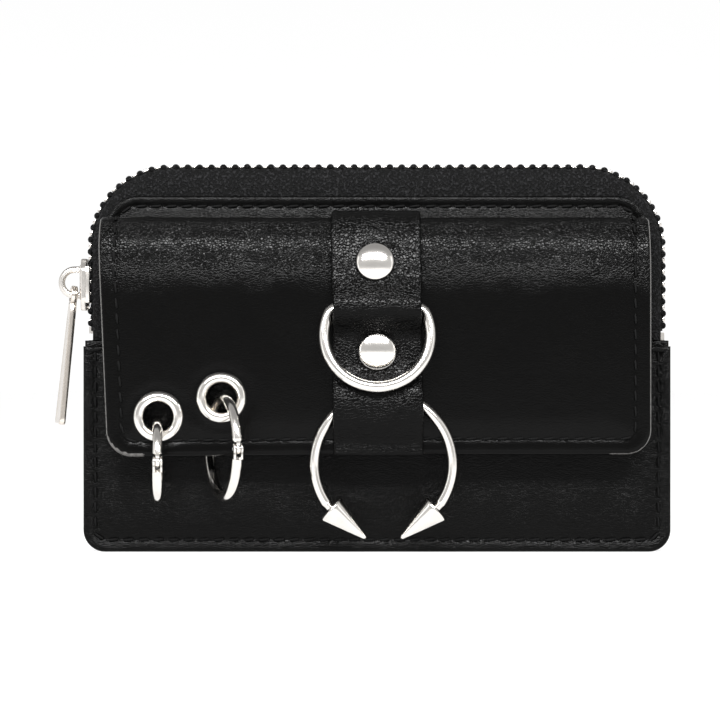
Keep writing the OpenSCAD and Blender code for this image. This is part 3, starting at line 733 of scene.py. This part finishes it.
def flap_stitch_items():
    items = []
    xl, xr = flap_edges(40)
    # along the free edge
    pts = []
    r = 2.6
    z0 = FLAP_Z0 + 3.2
    for z in np.linspace(CREST - ELL, z0 + r, 24):
        a, b = flap_edges(z)
        pts.append((a + 3.2, z))
    a, b = flap_edges(z0)
    for k in range(1, 7):
        t = math.pi + (math.pi / 2) * k / 6
        pts.append((a + 3.2 + r + r * math.cos(t), z0 + r + r * math.sin(t)))
    for k in range(0, 7):
        t = 1.5 * math.pi + (math.pi / 2) * k / 6
        pts.append((b - 3.2 - r + r * math.cos(t), z0 + r + r * math.sin(t)))
    for z in np.linspace(z0 + r, CREST - ELL, 24)[1:]:
        a, b = flap_edges(z)
        pts.append((b - 3.2, z))
    for p, t in along(pts, 3.1):
        if abs(p.x) < 9.3 and p.y < 30:
            continue
        sag = -0.55 * max(0, -p.x / 56) * max(0, 1 - (p.y - FLAP_Z0) / 26)
        y = -12.54 - flap_relief(p.x, p.y, 0, p.y)
        items.append(((p.x, y, p.y + sag), (t.x, 0, t.y), (0, -1, 0)))
    # over the fold
    for s in (-1, 1):
        a, b = flap_edges(FOLD_Z)
        x = a + 3.2 if s < 0 else b - 3.2
        for ang in (8, 22, 37, 55, 82):
            y, z, ny, nzv = fold_point(math.pi - math.radians(ang))
            items.append(((x, y - 0.0 * ny, z - 0.0 * nzv), (0, nzv, -ny), (0, ny, nzv)))
    return items


fs = stitches("flap_stitches", flap_stitch_items(), None)
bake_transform(fs)


# ------------------------------------------------------------------ centre strap, raised over the ring's bar and the barbell
def sm(t):
    t = min(1.0, max(0.0, t))
    return t * t * (3 - 2 * t)


STRAP = [(19.5, -13.84), (21.6, -13.86), (23.3, -14.2), (25.2, -15.25), (27.6, -16.12), (31.0, -16.42), (33.2, -16.05), (35.4, -14.98), (37.4, -14.1), (39.2, -13.84),
         (43.4, -13.84), (44.7, -14.3), (46.4, -15.65), (48.0, -17.05), (49.8, -17.6), (51.6, -17.1), (53.7, -15.75), (56.0, -14.7), (58.6, -14.1), (61.5, -13.25), (64.0, -12.1)]


def strap_y(z):
    """Smooth curve through the points of STRAP."""
    i = 1
    while i < len(STRAP) - 3 and STRAP[i + 1][0] < z:
        i += 1
    (z0, y0), (z1, y1), (z2, y2), (z3, y3) = STRAP[i - 1], STRAP[i], STRAP[i + 1], STRAP[i + 2]
    t = min(1.0, max(0.0, (z - z1) / (z2 - z1)))
    m1 = (y2 - y0) / (z2 - z0) * (z2 - z1)
    m2 = (y3 - y1) / (z3 - z1) * (z2 - z1)
    return (2 * t ** 3 - 3 * t * t + 1) * y1 + (t ** 3 - 2 * t * t + t) * m1 + (-2 * t ** 3 + 3 * t * t) * y2 + (t ** 3 - t * t) * m2


def strap():
    rows = []
    top = 60.4
    for z in zrows(FLAP_Z0 - 0.1, top, 0.55, hi=False):
        e = 0.15
        dy = (strap_y(z + e) - strap_y(z - e)) / (2 * e)
        n = Vector((-1.0, dy)).normalized()
        rows.append((strap_y(z), z, n.x, n.y, z - FLAP_Z0 + 0.1, z))
    # over the crest it lies on the flap
    crest = []
    for k in range(41):
        y, z, ny, nzv = fold_point(math.pi - (math.pi / 2) * k / 40)
        crest.append((y + 1.24 * ny, z + 1.24 * nzv, ny, nzv))
    for k in range(1, 9):
        a = math.pi / 2 - math.radians(4 * k)
        crest.append((FOLD_Y + 6.84 * math.cos(a), FOLD_Z + 6.84 * math.sin(a), math.cos(a), math.sin(a)))
    crest = [c for c in crest if c[1] > top + 0.9 or c[0] > FOLD_Y]
    s, last = top, rows[-1]
    for k, (y, z, ny, nzv) in enumerate(crest):
        s += math.hypot(y - last[0], z - last[1])
        last = (y, z)
        rows.append((y, z, ny, nzv, 99 if k < len(crest) - 1 else 0, s))
    A, B = [], []
    for y, z, ny, nzv, de, s in rows:
        t = min(1, max(0, (s - 20) / 45))
        # a slight waist where it bends over the bar, clear of the ring's shoulders
        g = math.exp(-((s - 49.8) / 3.4) ** 2)
        cx = (0.22 - 0.5 * t) * (1 - g)
        w = 9.05 - 0.24 * g
        ra, rb = [], []
        for x0 in spread(w, 24):
            x = cx + x0
            d = max(0, min(w - abs(x0), de))
            rel = 0.10 * nz(x, 0, s, 7, 21.0) + 0.05 * nz(x, 0, s, 2.8, 3.0)
            # fine creases across the strap where it bends
            bend = math.exp(-((s - 36.5) / 1.6) ** 2) + math.exp(-((s - 24) / 1.8) ** 2) + math.exp(-((s - 46.5) / 1.4) ** 2) + math.exp(-((s - 53) / 1.4) ** 2)
            rel += 0.07 * bend * nz(x * 0.35, 0, s * 2.6, 2.0, 8.0)
            for rz in (RV1, RV2):
                r = math.hypot(x, s - rz)
                rel += -0.22 * math.exp(-((r - 3.9) / 0.8) ** 2)
            # edges lie slightly lower than the middle
            rel += 0.16 * (1 - (x0 / w) ** 2)
            off = rel * min(1, d / 1.2) - bevel(d, 0.5)
            ra.append((x, y + ny * off, z + nzv * off))
            inn = -1.18 + bevel(d, 0.45)
            rb.append((x, y + ny * inn, z + nzv * inn))
        A.append(ra); B.append(rb)
    V, F, I = slab(np.array(A), np.array(B))
    ob = make("strap_leather", V, F, [M_STRAP, M_EDGE], None, replaces=("strap", "strap_fold"), idx=I)
    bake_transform(ob)


strap()
stitches("strap_end_stitches", [((x, -13.86, FLAP_Z0 + 1.7), (1, 0, 0), (0, -1, 0)) for x in np.linspace(-7.3, 7.5, 6)], "flap")


# ------------------------------------------------------------------ rivets and eyelets
def rivet(name, x, z, tilt, rep, y):
    prof = [(0.0, 1.86)]
    for k in range(1, 15):
        a = math.radians(31.5) * k / 14
        prof.append((6.9 * math.sin(a), 1.86 - 6.9 * (1 - math.cos(a))))
    prof += [(3.70, 0.72), (3.79, 0.55), (3.80, 0.32), (3.72, 0.12), (3.5, -0.02), (1.3, -0.05), (1.25, -3.6), (0.0, -3.6)]
    V, F = lathe(prof, 72)
    V = to_axis(V, (0, 0, 0), (0, -1, math.tan(math.radians(tilt))))
    V = V + np.array((x, y, z))
    return make(name, V, F, M_NICKEL, "flap", replaces=(rep,), angle=50)


rivet("rivet_upper", -0.45, RV1 + 0.2, 9.0, "rivet_cap_upper", -14.22)
rivet("rivet_lower", 0.0, RV2, -4.0, "rivet_cap_lower", -13.98)


def eyelet(name, ex, ez, rep):
    prof = [(2.98, -2.45), (2.95, -1.2), (2.95, -0.1), (3.0, 0.2), (3.14, 0.45), (3.4, 0.64), (3.75, 0.74), (4.15, 0.74), (4.5, 0.62), (4.82, 0.40), (5.02, 0.14),
            (5.1, -0.10), (4.95, -0.16), (3.6, -0.14), (3.5, -0.5), (3.5, -2.45)]
    V, F = lathe(prof, 80, closed=True)
    V = to_axis(V, (ex, -12.66, ez), (0, -1, 0))
    return make(name, V, F, M_NICKEL, "flap", replaces=(rep,), angle=50)


eyelet("eyelet_ring_left", *EY_L, "eyelet_left")
eyelet("eyelet_ring_right", *EY_R, "eyelet_right")


# ------------------------------------------------------------------ ring under the strap
def d_ring():
    t = math.radians(12.5)
    P = []
    for k in range(89):
        a = math.radians(162 + 216 * k / 88)
        P.append((10.65 * math.cos(a), -5.468 + 10.65 * math.sin(a)))
    for k in range(13):
        a = math.radians(18 + 72 * k / 12)
        P.append((7.532 + 2.6 * math.cos(a), -2.6 + 2.6 * math.sin(a)))
    for q in np.linspace(6.6, -6.6, 12):
        P.append((q, 0))
    for k in range(13):
        a = math.radians(90 + 72 * k / 12)
        P.append((-7.532 + 2.6 * math.cos(a), -2.6 + 2.6 * math.sin(a)))
    path = [(px, -14.2 + v * math.sin(t), 49.6 + v * math.cos(t)) for px, v in P]
    V, F = tube(path, 1.15, seg=28, closed=True)
    return make("d_ring_wire", V, F, M_NICKEL, "ring", replaces=("d_ring",), angle=60)


d_ring()


# ------------------------------------------------------------------ horseshoe barbell
BBC = (1.22, -13.85, 18.4)


def barbell():
    a0, a1 = math.radians(-39.5), math.radians(219.5)
    n = 150
    path, rad = [], []
    for k in range(n + 1):
        a = a0 + (a1 - a0) * k / n
        path.append((BBC[0] + 13.85 * math.cos(a), BBC[1], BBC[2] + 13.85 * math.sin(a)))
        e = min(k, n - k) / n * (a1 - a0) * 13.85
        rad.append(1.0 if e > 1.1 else (0.78 if e < 0.75 else 0.78 + 0.22 * (e - 0.75) / 0.35))
    V, F = tube(path, rad, seg=28)
    make("barbell_wire", V, F, M_NICKEL, "barbell", replaces=("barbell_ring",), angle=35)
    for s, phi, nm in ((-1, 40.2, "left"), (1, 40.2, "right")):
        end = path[0] if s > 0 else path[-1]
        d = Vector((-s * math.cos(math.radians(phi)), 0, -math.sin(math.radians(phi))))
        prof = [(0.0, 0.0), (2.45, 0.0), (2.72, 0.05), (2.88, 0.16), (2.95, 0.34), (2.94, 0.52)]
        for k in range(1, 15):
            f = k / 14
            prof.append((2.94 + (0.42 - 2.94) * f, 0.52 + 8.45 * f))
        prof += [(0.36, 9.12), (0.22, 9.25), (0.0, 9.3)]
        V, F = lathe(prof, 72)
        V = to_axis(V, end, d[:])
        V = V + np.array(d[:]) * 0.05
        make("barbell_cone_" + nm, V, F, M_NICKEL, "barbell", replaces=("barbell_spike_" + nm,), angle=40)


barbell()


# ------------------------------------------------------------------ hinged hoops
def turn_z(V, c, deg):
    t = math.radians(deg)
    R = np.array([[math.cos(t), -math.sin(t), 0], [math.sin(t), math.cos(t), 0], [0, 0, 1]])
    return np.asarray(V) @ R.T + np.array(c)


def disc_x(x0, x1, y, z, r, bev=0.15):
    prof = [(0, x0), (r - bev, x0), (r - bev * 0.3, x0 + bev * 0.3), (r, x0 + bev), (r, x1 - bev), (r - bev * 0.3, x1 - bev * 0.3), (r - bev, x1), (0, x1)]
    V, F = lathe(prof, 40)
    V = to_axis(V, (0, y, z), (1, 0, 0))
    return V, F


def hoop(tag, c, r, deg, body, gate):
    def arc(a0, a1, w0, w1=None, n=70):
        p, q = [], []
        for k in range(n + 1):
            a = math.radians(a0 + (a1 - a0) * k / n)
            p.append((0, r * math.cos(a), r * math.sin(a)))
            e = min(k, n - k) / n * abs(a1 - a0) * math.pi / 180 * r
            q.append(w0 * (1 if e > 0.22 else math.sqrt(max(0.35, 1 - (1 - e / 0.22) ** 2))))
        return tube(p, q, seg=26)
    ka = 180 - 1.30 / r * 180 / math.pi
    up = [arc(2, ka, 0.97)]
    up.append(disc_x(-0.4, 0.4, -r, 0, 0.95, 0.1))
    up.append(rounded_box((-0.4, -r - 0.62, 0.2), (0.4, -r + 0.7, 2.0), 0.15, 2))
    V, F = join(up)
    make("hoop_%s_top" % tag, turn_z(V, c, deg), F, M_NICKEL, body, replaces=("hoop_%s_upper" % tag,), angle=45)
    kb = 180 + 1.55 / r * 180 / math.pi
    lo = [arc(kb, 358, 1.05)]
    for s in (-1, 1):
        x0, x1 = (0.47, 0.98) if s > 0 else (-0.98, -0.47)
        lo.append(disc_x(x0, x1, -r, 0, 1.04, 0.22))
        lo.append(rounded_box((x0, -r - 0.80, -2.1), (x1, -r + 0.85, -0.2), 0.22, 2))
    V, F = join(lo)
    make("hoop_%s_low" % tag, turn_z(V, c, deg), F, M_NICKEL, gate, replaces=("hoop_%s_gate" % tag,), angle=45)
    # pin with a domed head at each side
    V, F = lathe([(0, -1.06), (0.26, -1.03), (0.38, -0.97), (0.38, 0.97), (0.26, 1.03), (0, 1.06)], 28)
    V = to_axis(V, (0, -r, 0), (1, 0, 0))
    make("hoop_%s_hinge_pin" % tag, turn_z(V, c, deg), F, M_STEEL, body, replaces=("hoop_%s_pin" % tag,), angle=45)


hoop("left", (-44.1, -13.35, 19.1), 7.5, 5, "hoop_left", "hoop_left_gate")
hoop("right", (-30.8, -14.87, 21.75), 9.75, 20, "hoop_right", "hoop_right_gate")


# ------------------------------------------------------------------ zip
def chain(w, z1, r, n_side=30, n_arc=22, n_top=70):
    pts = []
    low = CH_Z0 - 3.6
    for k in range(n_side):
        pts.append((-w, low + (z1 - r - low) * k / n_side))
    for k in range(n_arc):
        a = math.pi - (math.pi / 2) * k / n_arc
        pts.append((-(w - r) + r * math.cos(a), z1 - r + r * math.sin(a)))
    for k in range(n_top):
        pts.append((-(w - r) + 2 * (w - r) * k / n_top, z1))
    for k in range(n_arc):
        a = math.pi / 2 - (math.pi / 2) * k / n_arc
        pts.append(((w - r) + r * math.cos(a), z1 - r + r * math.sin(a)))
    for k in range(n_side + 1):
        pts.append((w, z1 - r - (z1 - r - low) * k / n_side))
    return pts


P_IN = chain(UPPER - 3.1, PANEL_H - 3.1, RT - 2.0)
P_ED = chain(UPPER + 0.3, PANEL_H + 0.3, RT + 1.5)
P_CH = chain(CH_W, CH_Z, CH_R)


def lerp2(p, q, t):
    return (p[0] * (1 - t) + q[0] * t, p[1] * (1 - t) + q[1] * t)


def tape(name, side, rep):
    """Woven tape from under the panel, out past its edge and round to the teeth."""
    A, B = [], []
    n = len(P_CH)
    for i in range(n):
        pin, ped, pch = P_IN[i], P_ED[i], P_CH[i]
        if side < 0:
            ys = (-0.14, -0.14, 0.10, 0.9, 1.7, YC - 2.5)
        else:
            ye = y_in(*ped) - 0.10
            ys = (y_in(*pin) - 0.10, ye, ye * 0.6 + (YC + 3.9) * 0.4, YC + 3.9, YC + 3.2, YC + 2.5)
        ks = (None, 0.0, 0.5, 0.97, 1.0, 1.0)
        ra, rb = [], []
        ctrl = []
        for k, y in zip(ks, ys):
            x, z = pin if k is None else lerp2(ped, pch, k)
            if z < CH_Z0 + 1:
                y = min(y, y_in(x, z) - 0.15)
            ctrl.append((x, y, z))
        ctrl = np.array(ctrl)
        # resample smoothly along the section
        T = np.linspace(0, len(ctrl) - 1, 22)
        sec = []
        for t in T:
            j = min(int(t), len(ctrl) - 2)
            f = t - j
            p0, p1, p2, p3 = ctrl[max(j - 1, 0)], ctrl[j], ctrl[j + 1], ctrl[min(j + 2, len(ctrl) - 1)]
            sec.append(0.5 * ((2 * p1) + (-p0 + p2) * f + (2 * p0 - 5 * p1 + 4 * p2 - p3) * f * f + (-p0 + 3 * p1 - 3 * p2 + p3) * f ** 3))
        sec = np.array(sec)
        # outward direction in x, z at this station
        a, b = P_CH[max(i - 1, 0)], P_CH[min(i + 1, n - 1)]
        tx, tz = b[0] - a[0], b[1] - a[1]
        L = math.hypot(tx, tz)
        ox, oz = -tz / L, tx / L
        for k, q in enumerate(sec):
            tang = sec[min(k + 1, len(sec) - 1)] - sec[max(k - 1, 0)]
            outward = tang[0] * ox + tang[2] * oz
            along_y = tang[1]
            m = math.hypot(outward, along_y) or 1
            nn = np.array([ox * abs(along_y) / m, (-1 if side < 0 else 1) * abs(outward) / m, oz * abs(along_y) / m])
            w = 0.10 * nz(q[0], q[1], q[2], 5, 2.0) * sm(k / 6)
            ra.append(q + nn * w)
            rb.append(q + nn * (w - 0.42))
        A.append(ra); B.append(rb)
    V, F, I = slab(np.array(A), np.array(B))
    return make(name, V, F, M_TAPE, "purse", replaces=(rep,), angle=70)


tape("tape_front", -1, "zip_tape_front")
tape("tape_back", 1, "zip_tape_back")

S_SIDE = CH_Z - CH_R - CH_Z0
S_ARC = CH_R * math.pi / 2
S_TOP = 2 * (CH_W - CH_R)
S_ALL = 2 * S_SIDE + 2 * S_ARC + S_TOP


def station(s):
    """x, z and the outward direction's angle from +z towards +x, in radians."""
    if s < S_SIDE:
        return -CH_W, CH_Z0 + s, -math.pi / 2
    if s < S_SIDE + S_ARC:
        a = (s - S_SIDE) / CH_R
        return -(CH_W - CH_R) - CH_R * math.cos(a), CH_Z - CH_R + CH_R * math.sin(a), a - math.pi / 2
    if s < S_SIDE + S_ARC + S_TOP:
        return -(CH_W - CH_R) + s - S_SIDE - S_ARC, CH_Z, 0
    if s < S_SIDE + 2 * S_ARC + S_TOP:
        a = (s - S_SIDE - S_ARC - S_TOP) / CH_R
        return (CH_W - CH_R) + CH_R * math.sin(a), CH_Z - CH_R + CH_R * math.cos(a), a
    return CH_W, CH_Z - CH_R - (s - S_SIDE - 2 * S_ARC - S_TOP), math.pi / 2


def put(V, s, y=0.0, out=0.0):
    """Places a piece whose x runs along the chain, y to the back and z outwards."""
    x, z, a = station(s)
    c, sn = math.cos(a), math.sin(a)
    V = np.asarray(V)
    X = x + V[:, 0] * c + (V[:, 2] + out) * sn
    Z = z - V[:, 0] * sn + (V[:, 2] + out) * c
    return np.stack([X, YC + y + V[:, 1], Z], axis=1)


def teeth():
    pitch, start = 2.46, 8.4
    n = int((S_ALL - start - 2.2) // pitch)
    # one tooth: two legs over the tape's cord and a head that hooks its neighbours
    def tooth(side, loose=False):
        sg = 1 if side > 0 else -1
        def yb(a, b):
            return (min(sg * a, sg * b), max(sg * a, sg * b))
        parts = []
        y0, y1 = yb(0.55, 2.40)
        parts.append(rounded_box((-0.52, y0, -0.78), (0.52, y1, 1.10), 0.20, 2))
        y0, y1 = yb(-0.38, 0.9)
        parts.append(rounded_box((-0.58, y0, -0.62), (0.58, y1, 0.74), 0.26, 2))
        y0, y1 = yb(1.7, 2.3 if loose else 2.9)
        parts.append(rounded_box((-0.36, y0, 0.42), (0.36, y1, 0.86), 0.16, 2))
        return join(parts)
    for side, nm in ((-1, "front"), (1, "back")):
        base = tooth(side)
        parts = []
        for k in range(n + (1 if side < 0 else 0)):
            s = start + (k + (0.5 if side > 0 else 0)) * pitch
            parts.append((put(base[0], s), base[1]))
        for s in (2.6, 5.0):
            free = tooth(side, True)
            parts.append((put(free[0], s, y=side * 0.48), free[1]))
        V, F = join(parts)
        make("teeth_" + nm, V, F, M_ZIP, "purse", replaces=("zip_teeth_" + nm,), angle=45, flip_check=False)
    # cord along each tape's edge, whipped into a bump between every two teeth
    for side, nm in ((-1, "front"), (1, "back")):
        parts = []
        path = [put([(0, side * 2.75, 0)], s)[0] for s in np.linspace(0.6, S_ALL - 0.6, 330)]
        parts.append(tube(path, 0.52, seg=10))
        cap, cf = _capsule(1.9, 0.62, 10)
        bump = np.stack([cap[:, 1] * 1.15, cap[:, 0] * 0.9, cap[:, 2]], axis=1)
        for k in range(-3, n + 1):
            s = start + (k + (0.5 if side < 0 else 0.0)) * pitch
            if s < 0.8 or s > S_ALL - 0.8:
                continue
            j = 0.10 * nz(k * 1.9, 0, 0, 1, 4.4)
            parts.append((put(bump, s, y=side * 2.55, out=0.60 + j), cf))
        V, F = join(parts)
        make("tape_cord_" + nm, V, F, M_TAPE, "purse", angle=70, flip_check=False)


teeth()


def slider():
    y0, y1 = YC - 3.6, YC + 3.6
    parts = []
    # outer plate: narrow at the ends, wide at the shoulders
    def plate(x0, x1, bev):
        zs = zrows(49.4, 60.2, 0.8)
        A, B = [], []
        for z in zs:
            d0 = min(z - 49.4, 60.2 - z)
            w = 3.6 - 1.2 * (1 - sm(d0 / 2.6)) - (0.0 if d0 > 0.5 else 0.5 - math.sqrt(max(0, 0.25 - (0.5 - d0) ** 2)))
            ra, rb = [], []
            for yy in np.concatenate([[-w + o for o in (0, .05, .15, .3, .5)], np.linspace(-w + .5, w - .5, 9)[1:-1], [w - o for o in (.5, .3, .15, .05, 0)]]):
                d = max(0, min(w - abs(yy), d0))
                dome = 0.18 * (1 - (yy / 3.6) ** 2)
                ra.append((x0 + bevel(d, bev) - (dome if x0 < -60.5 else 0), YC + yy, z))
                rb.append((x1 - bevel(d, bev * 0.6), YC + yy, z))
            A.append(ra); B.append(rb)
        V, F, I = slab(np.array(A), np.array(B))
        return V, F
    parts.append(plate(-61.2, -60.0, 0.4))
    parts.append(plate(-57.2, -56.2, 0.3))
    for s in (-1, 1):
        a, b = sorted((YC + s * 2.95, YC + s * 3.6))
        parts.append(rounded_box((-60.3, a, 51.0), (-59.3, b, 58.6), 0.15, 2))
    V, F = lathe([(0, 0), (0.62, 0), (0.62, 0.25), (0, 0.25)], 24)
    parts.append((to_axis(V, (-60.05, YC, 50.4), (1, 0, 0)), F))
    # lug under the crown
    parts.append(rounded_box((-61.75, YC - 0.95, 51.6), (-61.05, YC + 0.95, 59.0), 0.3, 3))
    V, F = join(parts)
    make("slider_shell", V, F, M_ZIP, "slider", replaces=("slider_body",), angle=45)
    path = [(-61.3, YC, 58.0)]
    for k in range(31):
        a = math.pi / 2 + math.pi * k / 30
        path.append((-62.8 + 2.7 * math.cos(a), YC, 55.3 + 2.7 * math.sin(a)))
    path.append((-61.3, YC, 52.6))
    V, F = tube(path, [0.7] * len(path), seg=20)
    V[:, 1] = YC + (V[:, 1] - YC) * 1.0
    make("slider_bail", V, F, M_ZIP, "slider", replaces=("slider_crown",), angle=45)


slider()


def pull():
    parts = []
    prof = [(1.28, -0.5), (1.36, -0.62), (1.5, -0.65), (1.85, -0.65), (2.0, -0.58), (2.05, -0.4), (2.05, 0.4), (2.0, 0.58), (1.85, 0.65), (1.5, 0.65), (1.36, 0.62), (1.28, 0.5)]
    V, F = lathe(prof, 48, closed=True)
    parts.append((to_axis(V, (0, 0, -2.7), (1, 0, 0)), F))
    A, B = [], []
    for z in [-4.2, -4.5, -5.0, -6.0] + list(np.linspace(-7, -28, 16)) + [-28.5, -28.9, -29.2, -29.4, -29.52, -29.6]:
        w = 1.55 + 0.45 * sm((-4.2 - z) / 1.8) if z > -6 else 2.0 + 1.6 * (-6 - z) / 22.4
        if z < -28.4:
            w = 3.6 - (0.9 - math.sqrt(max(0, 0.81 - (-28.7 - z) ** 2)) if z < -28.7 else 0)
        de = z + 29.6
        ra, rb = [], []
        for yy in np.concatenate([[-w + o for o in (0, .04, .12, .25, .45)], np.linspace(-w + .45, w - .45, 11)[1:-1], [w - o for o in (.45, .25, .12, .04, 0)]]):
            d = max(0, min(w - abs(yy), de))
            hollow = 0.10 * sm((min(w - abs(yy), de) - 0.7) / 0.35) if z < -7.5 else 0
            ra.append((-0.65 + bevel(d, 0.32) + hollow, yy, z))
            rb.append((0.65 - bevel(d, 0.32) - hollow, yy, z))
        A.append(ra); B.append(rb)
    V, F, I = slab(np.array(A), np.array(B))
    parts.append((V, F))
    V, F = join(parts)
    tw, ln = math.radians(15), math.radians(6)
    Rz = np.array([[math.cos(tw), -math.sin(tw), 0], [math.sin(tw), math.cos(tw), 0], [0, 0, 1]])
    Ry = np.array([[math.cos(ln), 0, math.sin(ln)], [0, 1, 0], [-math.sin(ln), 0, math.cos(ln)]])
    V = V @ Rz.T @ Ry.T + np.array((-62.8, YC, 55.3))
    make("pull_plate", V, F, M_PULL, "pull", replaces=("pull_tab",), angle=35)


pull()


def zip_end(s):
    """Folded leather tab sewn over each end of the zip."""
    x0, x1 = (55.6, 59.7) if s > 0 else (-59.7, -55.6)
    V, F = rounded_box((x0, 0.32, 39.4), (x1, 3.4, 43.3), 0.45, 4)
    nm = "right" if s > 0 else "left"
    make("zip_end_" + nm, V, F, M_LEATHER, "purse", replaces=("zip_tab_" + nm,), angle=60)


zip_end(-1)
zip_end(1)

# ------------------------------------------------------------------ finishes for the CAD nodes that stay
KEEP = {
    "seam_welt": M_LEATHER, "card_slot_panel": M_LEATHER, "card_slot_edge": M_LEATHER, "pocket_welt": M_LEATHER,
    "back_lining": M_LINING, "front_lining": M_LINING, "pocket_lining": M_LINING,
    "zip_stops": M_ZIP, "snap_socket": M_STEEL, "snap_socket_washer": M_STEEL, "snap_stud": M_STEEL,
    "rivet_back_upper": M_STEEL, "rivet_back_lower": M_STEEL, "eyelet_washer_left": M_NICKEL, "eyelet_washer_right": M_NICKEL,
}
for nm, ob in frame["nodes"].items():
    if ob.type != "MESH":
        continue
    m = KEEP.get(nm, M_LEATHER)
    ob.data.materials.clear()
    ob.data.materials.append(m)

# ------------------------------------------------------------------ stage, light and camera
world = bpy.data.worlds.new("studio")
bpy.context.scene.world = world
world.use_nodes = True
wt = world.node_tree
wt.nodes.clear()
wo = wt.nodes.new("ShaderNodeOutputWorld")
bg = wt.nodes.new("ShaderNodeBackground")
tc = wt.nodes.new("ShaderNodeTexCoord")
sep = wt.nodes.new("ShaderNodeSeparateXYZ")
wt.links.new(tc.outputs["Generated"], sep.inputs[0])
# dark towards the camera's side, white behind and above
back = ramp(wt, mathn(wt, "ADD", mathn(wt, "MULTIPLY", sep.outputs[1], 0.5), 0.5), [(0.02, grey(0.66)), (0.15, grey(0.72)), (0.42, grey(0.90)), (0.56, grey(1.0))])
roof = ramp(wt, mathn(wt, "ADD", mathn(wt, "MULTIPLY", sep.outputs[2], 0.5), 0.5), [(0.0, grey(0.85)), (0.50, grey(1.0)), (0.70, grey(0.85)), (0.80, grey(0.50)), (1.0, grey(0.42))])
both = mathn(wt, "MULTIPLY", back, roof)
wt.links.new(both, bg.inputs["Color"])
bg.inputs["Strength"].default_value = 1.05
wt.links.new(bg.outputs[0], wo.inputs["Surface"])


def area(name, loc, target, size, power, col=(1, 1, 1)):
    d = bpy.data.lights.new(name, "AREA")
    d.shape = "RECTANGLE"
    d.size, d.size_y = size
    d.energy = power
    d.color = col
    o = bpy.data.objects.new(name, d)
    bpy.context.scene.collection.objects.link(o)
    o.location = loc
    o.rotation_euler = (Vector(target) - Vector(loc)).to_track_quat("-Z", "Y").to_euler()
    return o


area("top_soft", (-0.02, -0.345, 0.305), (0, -0.01, 0.06), (0.60, 0.085), 7.2)
area("side_left", (-0.46, -0.20, 0.12), (0, 0, 0.04), (0.08, 0.40), 0.15)
area("side_right", (0.46, -0.24, 0.14), (0, 0, 0.04), (0.08, 0.40), 0.12)

fl, ff = [(-1500, -1300, -0.02), (1500, -1300, -0.02), (1500, 2600, -0.02), (-1500, 2600, -0.02)], [(0, 1, 2, 3)]
fm, fnt, fb = new_mat("floor_white")
fn = node(fnt, "ShaderNodeTexNoise", Scale=14, Detail=2.0)
fnt.links.new(coords(fnt), fn.inputs["Vector"])
fnt.links.new(ramp(fnt, fn.outputs["Fac"], [(0.3, grey(0.30)), (0.7, grey(0.31))]), fb.inputs["Base Color"])
fb.inputs["Roughness"].default_value = 0.7
fb.inputs["Specular IOR Level"].default_value = 0.15
fb.inputs["Emission Color"].default_value = (1, 1, 1, 1)
fb.inputs["Emission Strength"].default_value = 0.78
floor = make("floor", fl, ff, fm, None, flip_check=False)

cam = bpy.data.cameras.new("cam")
cam.lens = 120
cam.sensor_width = 36
cam.dof.use_dof = False
co = bpy.data.objects.new("cam", cam)
bpy.context.scene.collection.objects.link(co)
co.location = (-0.00347, -0.4945, 0.0392)
co.rotation_euler = (math.radians(90), 0, 0)
bpy.context.scene.camera = co
bpy.context.scene.view_settings.view_transform = "Standard"
